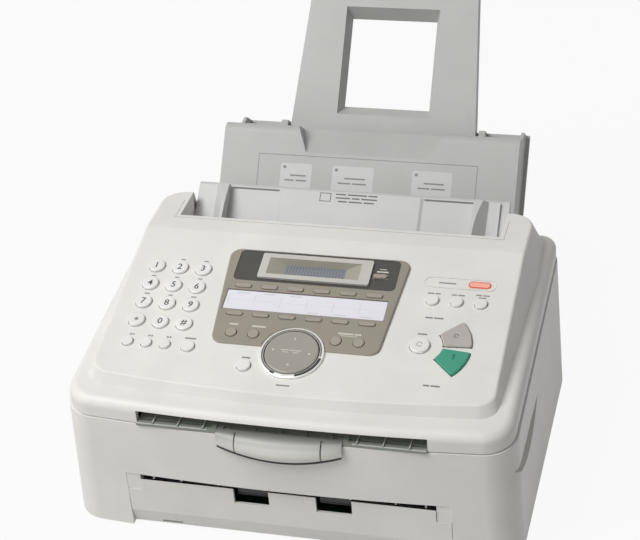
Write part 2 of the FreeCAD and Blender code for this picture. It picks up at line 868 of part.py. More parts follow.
# Toner cartridge over the drum, hung on two pegs between the side frames.
cartridge = piece("toner_cartridge")
cartridge.pad([[
    ("cartridge_front", f"{DRUM_AXIS[1]} + drum_radius"),
    ("drum_depth + drum_radius", "cartridge_bottom"),
    ("cartridge_rear", "cartridge_bottom"), ("cartridge_rear", "cartridge_top - 8"),
    ("cartridge_rear - 8", "cartridge_top"), ("cartridge_front + 12", "cartridge_top"),
    ("cartridge_front", "cartridge_top - 8"),
]], "side", "-cartridge_half", "cartridge_half")
cartridge.pocket([circle(*DRUM_AXIS, "drum_radius + 1")], "side", neg(FAR), FAR)
cartridge.rod("cartridge_peg_radius", "-frame_inner", "frame_inner",
              "cartridge_peg_depth", "cartridge_peg_height")
cartridge.pocket([rect("-cartridge_grip_half", "cartridge_front + 26", "cartridge_grip_half",
                       "cartridge_front + 44")], "plan", "cartridge_top - 8", "cartridge_top + 1")

# Laser unit on a shelf between the side frames.
laser = piece("laser_unit")
laser.pad([rect("laser_front", "laser_bottom", "laser_rear", "laser_top")], "side",
          "-laser_half", "laser_half")
laser.pad([rect("laser_front + 4", "laser_bottom", "laser_rear - 4", "laser_bottom + 3")], "side",
          "-frame_inner", "frame_inner")
laser.pocket([rect("-laser_window_half", "laser_bottom + 10", "laser_window_half", "laser_bottom + 18")],
             "face", "laser_front - 1", "laser_front + 4")

# Drive motor outside the right frame.
motor = piece("main_motor")
motor.rod("motor_radius", frame_out, f"{frame_out} + motor_length", "motor_depth", "motor_height")
motor.rod("motor_shaft_radius", "frame_inner - 8", frame_out, "motor_depth", "motor_height")

# Circuit boards on the posts of the pan.
BOARD_TOP = "(board_height + board_thickness)"


def board(label, front, rear, blocks):
    """Board with blocks given as x, depth, width, length and height."""
    made = piece(label)
    made.pad([rect("-board_half", front, "board_half", rear)], "plan", "board_height", BOARD_TOP)
    for x, depth, width, length, height in blocks:
        low = f"({front} + {depth})"
        made.pad([rect(f"{x} - {width} / 2", low, f"{x} + {width} / 2", f"{low} + {length}")],
                 "plan", f"{BOARD_TOP} - 0.2", f"{BOARD_TOP} + {height}")
    return made


board("power_supply_board", "supply_front", "supply_rear",
      [(-60, 20, 42, 36, 14), (10, 24, 24, 24, 12), (70, 66, 40, 20, 16), (-70, 72, 18, 18, 20)])
board("main_board", "logic_front", "logic_rear",
      [(-40, 20, 32, 32, 3), (30, 24, 24, 18, 2.5), (80, 60, 16, 30, 6), (-90, 64, 30, 10, 8)])

# Rear feed housing: cheeks, rear wall and deck that carry the paper tray and the cover hinge.
feed = piece("rear_feed_housing")
CHEEK = [
    ("body_depth + fit_gap / 4", "ground_gap"), ("feed_rear", "ground_gap"), ("feed_rear", "feed_top"),
    ("deck_rear", "hinge_height + cheek_crest / 2"),
    ("hinge_depth", "hinge_height + cheek_crest"),
    ("body_depth + fit_gap / 4", "hinge_height + cheek_crest / 2"),
]
feed.pad([CHEEK], "side", "-cheek_outer", "cheek_outer")
feed.pocket([[
    ("body_depth - 1", "0"), ("feed_rear - wall", "0"), ("feed_rear - wall", FAR), ("body_depth - 1", FAR),
]], "side", "-cheek_inner", "cheek_inner")
feed.pad([rect("-cheek_inner - 1", "body_depth + fit_gap / 4", "cheek_inner + 1", "deck_rear")],
         "plan", "deck_height - wall", "deck_height")
feed.pocket([circle("hinge_depth", "hinge_height", "hinge_pin_radius")], "side", neg(FAR), FAR)
connector_cuts = [rect("-inlet_shift - inlet_width / 2", "inlet_base",
                       "inlet_width / 2 - inlet_shift", "inlet_base + inlet_height")]
for i in (-1, 1):
    middle = f"(socket_shift + {i} * socket_pitch / 2)"
    connector_cuts.append(rect(f"{middle} - socket_width / 2", "socket_base",
                               f"{middle} + socket_width / 2", "socket_base + socket_height"))
feed.pocket(connector_cuts, "face", "feed_rear - 2 * wall", "feed_rear + 1")

inlet = piece("mains_inlet")
inlet.pad([connector_cuts[0]], "face", "feed_rear - inlet_length", "feed_rear")
inlet.pocket([rect("3 - inlet_shift - inlet_width / 2", "inlet_base + 3",
                   "inlet_width / 2 - inlet_shift - 3", "inlet_base + inlet_height - 3")],
             "face", "feed_rear - inlet_length + 5", "feed_rear + 1")
pins = []
for i in (-1, 0, 1):
    drop = "3" if i else "0"
    middle = f"({i} * 7 - inlet_shift)"
    pin_low = f"(inlet_base + inlet_height / 2 - {drop})"
    pins.append(rect(f"{middle} - 1", f"{pin_low} - 2", f"{middle} + 1", f"{pin_low} + 2"))
inlet.pad(pins, "face", "feed_rear - inlet_length + 4", "feed_rear - 3")

sockets = piece("line_sockets")
sockets.pad([rect("socket_shift - socket_pitch", "socket_base - 1", "socket_shift + socket_pitch",
                  "socket_base + socket_height + 1")], "face", "feed_rear - socket_length", "feed_rear - wall")
sockets.pad(connector_cuts[1:], "face", "feed_rear - wall - 0.1", "feed_rear")
mouths = []
for i in (-1, 1):
    middle = f"(socket_shift + {i} * socket_pitch / 2)"
    mouths.append(rect(f"{middle} - socket_mouth / 2", "socket_base + 2",
                       f"{middle} + socket_mouth / 2", "socket_base + socket_mouth + 1"))
sockets.pocket(mouths, "face", "feed_rear - socket_length + 3", "feed_rear + 1")

hinge_pins = piece("hinge_pins")
hinge_pins.body.AllowCompound = True
hinge_pins.rod("hinge_pin_radius", "pin_inner", "arm_outer + 1", "hinge_depth", "hinge_height")
hinge_pins.rod("hinge_pin_radius", "-arm_outer - 1", "-pin_inner", "hinge_depth", "hinge_height")

# Paper tray front cover with its rounded lip and finger scoop, in the leaning frame of the tray.
tray = piece("paper_tray_cover", TRAY)
tray.pad([[
    ("0", "tray_low"), ("wall", "tray_low"), ("wall", "scoop_low - 6"), ("tray_lip", "tray_top - wall - 3"),
    ("tray_lip", "tray_top"), ("tray_lip_radius", "tray_top"), ("0", "tray_top - tray_lip_radius", "tray_lip_radius"),
]], "side", "-tray_half", "tray_half")
tray.pocket([[
    ("wall + 1", "tray_low - 1"), (FAR, "tray_low - 1"), (FAR, "tray_top - wall - 0.5"),
    ("tray_lip_radius + 2", "tray_top - wall - 0.5"), ("wall + 1", "tray_top - tray_lip_radius - 3"),
]], "side", "scoop_half_top + 3", "tray_half - wall")
tray.pocket([[
    ("wall + 1", "tray_low - 1"), (FAR, "tray_low - 1"), (FAR, "tray_top - wall - 0.5"),
    ("tray_lip_radius + 2", "tray_top - wall - 0.5"), ("wall + 1", "tray_top - tray_lip_radius - 3"),
]], "side", "wall - tray_half", "-scoop_half_top - 3")
scoop_low = tray.sketch([[
    ("-scoop_half_low", "-1"), ("scoop_half_low", "-1"), ("scoop_half_low", "0.5"), ("-scoop_half_low", "0.5"),
]], "plan", "scoop_low")
scoop_high = tray.sketch([[
    ("-scoop_half_top", "-1"), ("scoop_half_top", "-1"), ("scoop_half_top", "scoop_back"),
    ("-scoop_half_top", "scoop_back"),
]], "plan", "tray_top + 1")
tray.loft("PartDesign::SubtractiveLoft", scoop_low, scoop_high)

# Paper tray back with its side walls, floor and the rails of the paper support.
TRAY_WALL = "(tray_half - wall - fit_gap)"
SIDE_FRONT = "(wall + 1.4)"
back = piece("paper_tray_back", TRAY)
back.pad([rect("tray_back_face", "tray_low", "tray_back_face + wall", "tray_back_top")], "side",
         "-tray_half", "tray_half")
PROFILE = [
    (SIDE_FRONT, "tray_low"), ("tray_back_face + wall", "tray_low"),
    ("tray_back_face + wall", "tray_back_top"), ("support_face - 2", "tray_back_top"),
    ("tray_lip + 1", "tray_top - wall - 4"), (SIDE_FRONT, "scoop_low"),
]
back.pad([PROFILE], "side", f"{TRAY_WALL} - wall", TRAY_WALL)
back.pad([PROFILE], "side", neg(TRAY_WALL), f"wall - {TRAY_WALL}")
back.pad([rect("support_face - 6", "tray_low", "tray_back_face + 1", "tray_low + wall")], "side",
         f"1 - {TRAY_WALL}", f"{TRAY_WALL} - 1")
SUPPORT_EDGE = "(support_half_low + 2 * run_gap)"
for side in (-1, 1):
    reach = f"({SUPPORT_EDGE} + rail_width)"
    low, high = (neg(reach), neg(SUPPORT_EDGE)) if side < 0 else (SUPPORT_EDGE, reach)
    back.pad([rect(low, "support_face", high, "tray_back_face + 1")], "plan", "-rail_drop", "tray_back_top")
back.pocket([circle("pickup_back", "pickup_up", "pickup_shaft_radius + bore_gap")], "side", neg(FAR), FAR)

pickup = piece("pickup_roller", TRAY)
pickup.rod("pickup_shaft_radius", neg(TRAY_WALL), TRAY_WALL, "pickup_back", "pickup_up")
pickup.rod("pickup_radius", "-pickup_half", "pickup_half", "pickup_back", "pickup_up")

# Paper support: a tapering frame with a bevelled window, hollow at the back.
SUPPORT_TOP = "((overall_depth - lever_reach - tray_depth" \
              " - (support_face + support_thickness) * cos(tray_lean)) / sin(tray_lean))"
SUPPORT_BACK = "(support_face + support_thickness)"


def taper(level, inset):
    """Half width of the support at a level, drawn in by an inset."""
    share = f"(({level}) - support_low) / ({SUPPORT_TOP} - support_low)"
    return f"(support_half_low + (support_half_top - support_half_low) * {share} - {inset})"


def frame_loop(low, top, inset):
    return [(neg(taper(low, inset)), low), (taper(low, inset), low), (taper(top, inset), top),
            (neg(taper(top, inset)), top)]


support = piece("paper_support", TRAY)
support.pad([frame_loop("support_low", SUPPORT_TOP, "0")], "face", "support_face", SUPPORT_BACK)


def top_corner(edge):
    x, y, z = span(edge)
    return x < 1e-3 and z < 1e-3 and edge.BoundBox.ZMin > num("window_top")


support.round("support_corner", top_corner)
rim = "support_skin"
support.pocket([
    frame_loop(f"window_top + window_rise + {rim}", f"{SUPPORT_TOP} - support_corner", f"{rim} * 4"),
    frame_loop(f"support_low + {rim}", f"window_low - window_rise - {rim}", rim),
], "face", f"support_face + {rim}", f"{SUPPORT_BACK} + 1")
front_window = support.sketch([rect("-window_half", "window_low", "window_half", "window_top")],
                              "face", "0.01 - support_face")
back_window = support.sketch([rect("window_side - window_half", "window_low + window_rise",
                                   "window_half - window_side", "window_top - window_rise")],
                             "face", f"-{SUPPORT_BACK} - 0.01")
support.loft("PartDesign::SubtractiveLoft", front_window, back_window)

# Top cover: a shoulder ring with a rounded brim, the document exit and the hinge arms.
cover = piece("top_cover")
cover.pad([hull("cover_inset", None, "side_draft")], "plan", "seam_front - 10", "shoulder_rear + 20")
cover.pocket([above("shoulder_front", "shoulder_rear")], "side", neg(FAR), FAR)


def brim(edge):
    middle = edge.valueAt((edge.FirstParameter + edge.LastParameter) / 2)
    rise = num("shoulder_rear") - num("shoulder_front")
    top = num("shoulder_front") + rise * middle.y / num("body_depth")
    return abs(middle.z - top) < 0.2 and middle.y < num("body_depth") - num("rear_corner") - 1


cover.round("shoulder_radius", brim)
cover.pocket([below("seam_front", "seam_rear", "seam_gap")], "side", neg(FAR), FAR)
SKIN = "(cover_inset + cover_skin)"
cover.pocket([hull(SKIN, None, "side_draft")], "plan", "0", "shoulder_front - wall")
WEDGE_FRONT = "(front_bow + front_corner)"
WEDGE_REAR = "(body_depth - rear_corner)"
void = [
    (WEDGE_FRONT, "0"), (WEDGE_REAR, "0"),
    (WEDGE_REAR, f"{slope_line('shoulder_front', 'shoulder_rear', WEDGE_REAR)} - wall"),
    (WEDGE_FRONT, f"{slope_line('shoulder_front', 'shoulder_rear', WEDGE_FRONT)} - wall"),
]
cover.pocket([void], "side", f"{SKIN} - {TOP_HALF}", f"{TOP_HALF} - {SKIN}")
cover.pocket([rect("-slot_half", "0", "slot_half", "slot_top")], "face", "-20", "front_bow + cover_skin + 2")
cover.pocket([rect("-cover_open_half", "cover_open_front", "cover_open_half",
                   "body_depth - rear_corner")], "plan", "0", FAR)
cover.pocket([rect("-entry_half", "0", "entry_half", FAR)], "face", "cover_open_front + 20", "body_depth + 20")
ARM_LOW = "(hinge_height - hinge_eye_radius)"
ARM = [
    ("hinge_depth", ARM_LOW), ("hinge_depth", "hinge_height + hinge_eye_radius"),
    ("body_depth - cover_skin", "seam_rear + 9"), ("body_depth - cover_skin", "seam_rear - 6"),
]
for low, high in (("arm_inner", "arm_outer"), ("-arm_outer", "-arm_inner")):
    cover.pad([ARM], "side", low, high)
    cover.rod("hinge_eye_radius", low, high, "hinge_depth", "hinge_height")
cover.pocket([circle("hinge_depth", "hinge_height", "hinge_pin_radius + bore_gap")], "side", neg(FAR), FAR)

# Control panel: a raised shell with a sloping face, a level rear crown and the document entry.
MITRE = "tan(panel_slope / 2)"
FLARE = "tan(panel_draft)"
FRONT_FLARE = "tan(panel_front_draft)"
CROWN = "(panel_rear - panel_front - panel_length * cos(panel_slope))"
CROWN_HEIGHT = "(panel_front_height + panel_length * sin(panel_slope))"


def face_outline(depth, inset):
    """Outline of the sloping face at a depth under it, with its front edge bowed."""
    grow = f"(({depth}) * {FLARE} - {inset})"
    half = f"(panel_half + {grow})"
    low = f"({inset} - ({depth}) * {FRONT_FLARE})"
    top = f"(panel_length - ({depth}) * {MITRE})"
    corner = f"(panel_corner - {inset})"
    straight = f"({half} - {corner})"
    bow = f"(({straight}^2 + panel_bow^2) / (2 * panel_bow))"
    return [(neg(straight), low), (straight, low, bow),
            (half, f"{low} + {corner}", corner), (half, top), (neg(half), top),
            (neg(half), f"{low} + {corner}"), (neg(straight), low, corner)]


def crown_outline(depth, inset):
    """Outline of the level crown behind the fold at a depth under it."""
    grow = f"(({depth}) * {FLARE} - {inset})"
    half = f"(panel_half + {grow})"
    low = f"(({depth}) * {MITRE})"
    top = f"({CROWN} + {grow})"
    corner = f"(panel_rear_corner - {inset})"
    return [(neg(half), low), (half, low), (half, f"{top} - {corner}"),
            (f"{half} - {corner}", top, corner), (f"{corner} - {half}", top),
            (neg(half), f"{top} - {corner}", corner)]


panel = piece("control_panel", PANEL)


def face_loft(kind, top, foot, inset):
    sections = [panel.sketch([face_outline(d, inset)], "plan", neg(d)) for d in (top, foot)]
    panel.loft(kind, *sections)


def crown_loft(kind, top, foot, inset):
    sections = []
    for d in (top, foot):
        drop = f"-({d}) * cos(panel_slope)"
        along = f"panel_length - ({d}) * sin(panel_slope)"
        sections.append(panel.sketch([crown_outline(d, inset)], "plan", drop, "-panel_slope", along))
    panel.loft(kind, *sections)


face_loft("PartDesign::AdditiveLoft", "0", "panel_skirt", "0")
crown_loft("PartDesign::AdditiveLoft", "0", "panel_skirt", "0")


def panel_rim(edge):
    """Edges of the raised face and crown, with the fold between them."""
    slope = math.radians(num("panel_slope"))
    on_face, on_crown = True, True
    for vertex in edge.Vertexes:
        s, h = vertex.Point.y, vertex.Point.z
        height = num("panel_front_height") + s * math.sin(slope) + h * math.cos(slope)
        on_face = on_face and abs(h) < 1e-3
        on_crown = on_crown and abs(height - num(CROWN_HEIGHT)) < 1e-3
    return on_face or on_crown


panel.round("panel_edge_radius", panel_rim)
PANEL_INSET = "(wall / cos(panel_draft))"
face_loft("PartDesign::SubtractiveLoft", "wall", "panel_skirt + 1", PANEL_INSET)
crown_loft("PartDesign::SubtractiveLoft", "wall", "panel_skirt + 1", PANEL_INSET)
shoulder = [into(PANEL, depth, height) for depth, height in below("shoulder_front", "shoulder_rear")]
panel.pocket([shoulder], "side", neg(FAR), FAR)


def block_on_panel(front, low, rear, high):
    """Side view block given on the body, drawn in the frame of the panel."""
    return [into(PANEL, *spot) for spot in rect(front, low, rear, high)]


panel.pocket([block_on_panel("entry_front", "0", FAR, FAR)], "side", "-entry_half", "entry_half")
ENTRY_LOW = f"({CROWN_HEIGHT} - entry_wall_drop)"
ENTRY_HIGH = f"({CROWN_HEIGHT} - wall / 2)"
entry_back = "(entry_front - wall)"
side_wall = block_on_panel(entry_back, ENTRY_LOW, "body_depth - rear_corner - 1", ENTRY_HIGH)
panel.pad([side_wall], "side", "entry_half", "entry_half + wall")
panel.pad([side_wall], "side", "-entry_half - wall", "-entry_half")
panel.pad([block_on_panel(entry_back, ENTRY_LOW, "entry_front", ENTRY_HIGH)], "side",
          "-entry_half - wall", "entry_half + wall")

# Key places on the panel, given along the width and up the slope.
DIAL_NAMES = [["star", "0", "hash"], ["7", "8", "9"], ["4", "5", "6"], ["1", "2", "3"]]
dial_keys = []
for row, names in enumerate(DIAL_NAMES):
    for column, name in enumerate(names):
        dial_keys.append((f"key_{name}", f"dial_left + {column} * dial_pitch", f"dial_low + {row} * dial_pitch"))
function_keys = [(f"function_left + {i} * function_pitch", "function_row", "function_radius") for i in range(3)]
function_keys.append(("monitor_shift", "function_row", "monitor_radius"))
function_keys.append(("lower_key_shift", "lower_key_row", "lower_key_radius"))
mode_keys = [(f"mode_left + {i} * mode_pitch", "mode_row", "mode_radius") for i in range(3)]
menu_keys = [(f"menu_centre + {side} * {reach}", "menu_row", "menu_radius")
             for side in (-1, 1) for reach in ("menu_outer", "menu_inner")]
station_keys = [(f"station_left + {i} * station_pitch", row)
                for row in ("station_upper", "station_lower") for i in range(6)]

holes = [circle(x, s, "dial_key_radius + key_gap") for label, x, s in dial_keys]
holes += [circle(x, s, f"{r} + key_gap") for x, s, r in function_keys + mode_keys]
holes.append(circle("stop_shift", "stop_row", "stop_radius + key_gap"))
holes += [sector("copy_start", "copy_end", "key_gap"), sector("send_start", "send_end", "key_gap")]
holes.append(pill("lamp_shift", "lamp_row", "lamp_width", "lamp_height", "fit_gap / 2"))
panel.pocket(holes, "plan", "-2 * wall", "1")
panel.pocket([circle("dial_shift", "dial_row", "ring_inner + ring_wall + fit_gap")], "plan", "-2 * wall", "1")


def fascia_outline(inset):
    half_low = f"(fascia_half_low - {inset})"
    half_top = f"(fascia_half_top - {inset})"
    low = f"fascia_low + {inset}"
    top = f"fascia_top - {inset}"
    return [(f"fascia_middle - {half_low}", low), (f"fascia_middle + {half_low}", low),
            (f"fascia_middle + {half_top}", top), (f"fascia_middle - {half_top}", top)]


panel.pocket([fascia_outline("fascia_rim")], "plan", "-2 * wall", "1")
PILL_MIDDLE = "((pill_left + pill_right) / 2)"
PILL_LENGTH = "(pill_right - pill_left)"
panel.pocket([pill(PILL_MIDDLE, "lamp_row", PILL_LENGTH, "pill_height"),
              pill(PILL_MIDDLE, "lamp_row", PILL_LENGTH, "pill_height", "-pill_groove")],
             "plan", "-pill_cut", "1")

# Fascia with its key holes, card recess and display opening.
fascia = piece("panel_fascia", PANEL)
fascia.pad([fascia_outline("0")], "plan", "0", "fascia_rise")
fascia.round("fascia_corner", upright)
fascia.pocket([circle("dial_shift", "dial_row", "ring_outer + fit_gap")], "plan", "-1", "fascia_rise + 1")
fascia.round("fascia_edge_radius", level_at("fascia_rise"), CHAMFER)
fascia_holes = [pill(x, s, "station_width", "station_height", "key_gap") for x, s in station_keys]
fascia_holes += [circle(x, s, f"{r} + key_gap") for x, s, r in menu_keys]
fascia_holes.append(pill("display_key_shift", "display_key_row", "display_key_width",
                         "display_key_height", "key_gap"))


def mouth(grow):
    """Outline of the display opening."""
    return rect(f"mouth_left - {grow}", f"mouth_low - {grow}", f"mouth_right + {grow}", f"mouth_top + {grow}")


fascia_holes.append(mouth("(collar_wall + fit_gap / 2)"))
fascia.pocket(fascia_holes, "plan", "-1", "fascia_rise + 1")
STRIP_FACE = "(fascia_rise - strip_depth)"
fascia.pocket([rounded("strip_left", "strip_low", "strip_right", "strip_top", "strip_corner")], "plan",
              STRIP_FACE, "fascia_rise + 1")
fascia.pocket([rounded("card_left - fit_gap / 2", "card_low - fit_gap / 2", "card_right + fit_gap / 2",
                       "card_top + fit_gap / 2", "1")], "plan", "fascia_rise - card_thickness", "fascia_rise + 1")

card = piece("directory_card", PANEL)
card.pad([rounded("card_left", "card_low", "card_right", "card_top", "1")], "plan",
         "fascia_rise - card_thickness", "fascia_rise")

bezel = piece("display_bezel", PANEL)
bezel.pad([rounded("bezel_left", "bezel_low", "bezel_right", "bezel_top", "1.5")], "plan",
          STRIP_FACE, "fascia_rise + bezel_rise")
bezel.pad([mouth("collar_wall")], "plan", "-glass_drop", f"{STRIP_FACE} + 0.1")
glass_foot = bezel.sketch([rect("glass_left", "glass_low", "glass_right", "glass_top")], "plan",
                          "-glass_drop - 0.01")
glass_mouth = bezel.sketch([mouth("0")], "plan", "fascia_rise + bezel_rise + 0.01")
bezel.loft("PartDesign::SubtractiveLoft", glass_foot, glass_mouth)

module = piece("display_module", PANEL)
module.pad([mouth("collar_wall")], "plan", "-glass_drop - module_depth", "-glass_drop")

# Turned keys, each with a flange under the panel.
KEY_LOW = "(-wall - run_gap - key_flange_depth)"
EASE = "(1 - cos(45))"


def eased(radius, top, size):
    """Outer edge of a turned piece, rounded in two flat steps."""
    return [(radius, f"{top} - {size}"), (f"{radius} - {size} * {EASE}", f"{top} - {size} * {EASE}"),
            (f"{radius} - {size}", top)]


def turned_key(label, x, s, radius):
    made = piece(label, PANEL, (x, s, "0"))
    made.turn([[
        ("0", KEY_LOW), (f"{radius} + key_flange", KEY_LOW),
        (f"{radius} + key_flange", f"{KEY_LOW} + key_flange_depth"), (radius, f"{KEY_LOW} + key_flange_depth"),
        *eased(radius, "key_rise", "key_round"), ("0", "key_rise"),
    ]])
    return made


for label, x, s in dial_keys:
    turned_key(label, x, s, "dial_key_radius")
turned_key("stop_key", "stop_shift", "stop_row", "stop_radius")

for label, start, end in (("copy_key", "copy_start", "copy_end"), ("send_key", "send_start", "send_end")):
    fan = piece(label, PANEL)
    fan.pad([sector(start, end)], "plan", KEY_LOW, "key_rise")
    fan.round("fan_corner", upright)
    fan.round("key_round", level_at("key_rise"), CHAMFER)
    fan.pad([sector(start, end, "fan_flange")], "plan", KEY_LOW, f"{KEY_LOW} + key_flange_depth")


def key_group(label, loops, low, high, carrier, notch=None):
    """Keys moulded on one carrier under the panel."""
    made = piece(label, PANEL)
    made.pad(loops, "plan", low, high)
    made.round("key_round / 2", level_at(high), CHAMFER)
    made.pad([carrier], "plan", f"{low} - carrier_thickness", low)
    if notch:
        made.pocket([notch], "plan", f"{low} - 2 * carrier_thickness", f"{low} + 0.01")
    return made


GROUP_LOW = "(-carrier_depth - run_gap)"
FASCIA_KEY_TOP = "(fascia_rise + key_rise / 2)"
key_group("function_keys", [circle(*key) for key in function_keys], GROUP_LOW, "key_rise",
          rect("function_left - function_radius - carrier_margin", "lower_key_row - lower_key_radius",
               "lower_key_shift + lower_key_radius", "function_row + monitor_radius + 1"))
key_group("mode_keys", [circle(*key) for key in mode_keys], GROUP_LOW, "key_rise",
          rect("mode_left - mode_radius - carrier_margin", "mode_row - mode_radius - carrier_margin",
               "mode_left + 2 * mode_pitch + mode_radius + carrier_margin", "mode_row + mode_radius + carrier_margin"))
key_group("station_keys", [pill(x, s, "station_width", "station_height") for x, s in station_keys],
          GROUP_LOW, FASCIA_KEY_TOP,
          rect("station_left - station_width / 2", "station_lower - station_height / 2",
               "station_left + 5 * station_pitch + station_width / 2", "station_upper + station_height / 2"))
key_group("menu_keys", [circle(*key) for key in menu_keys], GROUP_LOW, FASCIA_KEY_TOP,
          rect("menu_centre - menu_outer - menu_radius - 1", "menu_row - menu_radius",
               "menu_centre + menu_outer + menu_radius + 1", "station_lower - station_height / 2 - 1.5"),
          circle("dial_shift", "dial_row", "ring_outer + 1"))
display_key = piece("display_key", PANEL)
display_key.pad([pill("display_key_shift", "display_key_row", "display_key_width", "display_key_height")],
                "plan", "-run_gap - key_flange_depth", FASCIA_KEY_TOP)
display_key.round("key_round / 2", level_at(FASCIA_KEY_TOP), CHAMFER)
display_key.pad([pill("display_key_shift", "display_key_row", "display_key_width", "display_key_height",
                      "key_flange")], "plan", "-run_gap - key_flange_depth", "-run_gap")

# Navigator disc on two pins in its trim ring.
ring = piece("dial_ring", PANEL, ("dial_shift", "dial_row", "0"))
ring.turn([[
    ("ring_inner", "-ring_skirt"), ("ring_inner + ring_wall", "-ring_skirt"), ("ring_inner + ring_wall", "0"),
    ("ring_outer", "0"), *eased("ring_outer", "ring_rise", "ring_round"), ("ring_inner", "ring_rise"),
]])
ring.pocket([circle("0", "-disc_pin_drop", "disc_pin_radius + bore_gap")], "side", neg(FAR), FAR)
STEM_END = "(2 * run_gap - keyboard_depth)"
disc = piece("navigator_disc", PANEL, ("dial_shift", "dial_row", "0"))
disc.turn([[
    ("0", STEM_END), ("disc_stem_radius", STEM_END), ("disc_stem_radius", "-wall"),
    ("disc_radius", "-wall"), *eased("disc_radius", "disc_rise", "disc_dome"), ("0", "disc_rise - disc_dish"),
]])
PIN_END = "(ring_inner + ring_wall - run_gap / 2)"
disc.rod("disc_pin_radius", neg(PIN_END), PIN_END, "0", "-disc_pin_drop")

lamp = piece("status_lamp", PANEL)
lamp.pad([pill("lamp_shift", "lamp_row", "lamp_width", "lamp_height")], "plan", "-lamp_depth", "lamp_rise")
lamp.round("lamp_rise * 0.7", level_at("lamp_rise"), CHAMFER)
lamp.pad([pill("lamp_shift", "lamp_row", "lamp_width", "lamp_height", "1.5")], "plan", "-lamp_depth", "-wall")

keyboard = piece("key_board", PANEL)
keyboard.pad([rect("-keyboard_half", "keyboard_low", "keyboard_half", "keyboard_top")], "plan",
             "-keyboard_depth - board_thickness", "-keyboard_depth")
board_posts = []
for side in (-1, 1):
    for s in ("keyboard_low + 4", "keyboard_top - 4"):
        board_posts.append(circle(f"{side} * (keyboard_half - 5)", s, "2.5"))
        board_posts.append(circle(f"{side} * keyboard_half / 2 + 8", s, "2.5"))
keyboard.pad(board_posts, "plan", "-keyboard_depth - 0.1", "-wall")

# Document chute with ribs, roller bearings and the lever bearings.
chute = piece("document_chute")


def chute_profile(front):
    low = "chute_floor - chute_plate"
    return [
        (front, low), ("chute_flat", low), ("chute_rear", "chute_rear_height - chute_plate"),
        ("chute_rear", "chute_rear_height"), ("chute_flat", "chute_floor"), (front, "chute_floor"),
    ]


chute.pad([chute_profile("chute_front")], "side", "fit_gap - slot_half", "slot_half - fit_gap")
chute.pad([chute_profile("front_bow + front_corner + 1")], "side", "-chute_half", "chute_half")


def roof(depth):
    """Underside of the shoulder of the cover at a depth."""
    return f"{slope_line('shoulder_front', 'shoulder_rear', depth)} - wall"


def floor_at(depth):
    """Height of the sloping floor of the chute at a depth."""
    share = f"(({depth}) - chute_flat) / (chute_rear - chute_flat)"
    return f"(chute_floor + (chute_rear_height - chute_floor) * {share})"


WEB = [("chute_wall_front", f"{floor_at('chute_wall_front')} - 1"),
       ("chute_wall_rear", f"{floor_at('chute_wall_rear')} - 1"),
       ("chute_wall_rear", roof("chute_wall_rear")), ("chute_wall_front", roof("chute_wall_front"))]
chute.pad([WEB], "side", "chute_wall_inner", "chute_wall_inner + wall")
chute.pad([WEB], "side", "-chute_wall_inner - wall", "-chute_wall_inner")
LEVER_EDGE = "(lever_half + run_gap)"
LEVER_BEHIND = "(lever_back + 2 * run_gap)"
LUG_BACK = "(lever_axis + lever_plate / 2)"
LUG_IN = "(lever_half - lever_lug)"
RIBS = 5
ribs = []
for i in range(-RIBS, RIBS + 1):
    middle = f"({i} * rib_pitch)"
    start = "chute_front" if abs(num(middle)) > num("lever_half + lever_bearing") else LEVER_BEHIND
    ribs.append(rect(f"{middle} - rib_width / 2", f"{start} + 0.6", f"{middle} + rib_width / 2", "chute_flat"))
chute.pad(ribs, "plan", "chute_floor - 0.2", "chute_floor + rib_rise")
chute.pocket([rect(neg(LEVER_EDGE), "-20", LEVER_EDGE, LEVER_BEHIND)], "plan", "0", FAR)
lug_in = f"{LUG_IN} - run_gap"
lug_behind = f"{LUG_BACK} + 2 * run_gap"
chute.pocket([rect(lug_in, "0", LEVER_EDGE, lug_behind), rect(neg(LEVER_EDGE), "0", neg(lug_in), lug_behind)],
             "plan", "0", FAR)
LEVER_UNDER = "(slot_floor + run_gap)"
LEVER_TOP = f"({LEVER_UNDER} + lever_plate)"
LEVER_AXIS = ("lever_axis", f"({LEVER_UNDER} + lever_plate / 2)")
for side in (-1, 1):
    ends = ("feed_half + 2", "feed_half + 2 + feed_block")
    stops = (LEVER_EDGE, f"{LEVER_EDGE} + lever_bearing")
    if side < 0:
        ends = tuple(neg(e) for e in reversed(ends))
        stops = tuple(neg(e) for e in reversed(stops))
    chute.pad([rect("feed_axis_depth - 7", "chute_floor + 4", "feed_axis_depth + 7", "feed_axis_height + 6")],
              "side", *ends)
    chute.pad([rect("lever_axis - lever_plate", "chute_floor - 2 * chute_plate", "lever_axis + lever_plate",
                    "chute_floor + rib_rise")], "side", *stops)
chute.pocket([circle("feed_axis_depth", "feed_axis_height", "feed_shaft_radius + bore_gap"),
              circle(*LEVER_AXIS, "lever_pivot_radius + bore_gap")], "side", neg(FAR), FAR)

roller("document_feed_roller", ("feed_axis_depth", "feed_axis_height"), "feed_radius", "feed_half",
       "feed_shaft_radius", "feed_half + 2 + feed_block")

# Cover release lever: a bulging lip in front of the document exit, on two lugs that reach back to its axis.
lever = piece("cover_release_lever")
LIP_BACK = "(-run_gap * 1.5)"
LIP_TOP_EDGE = "1"


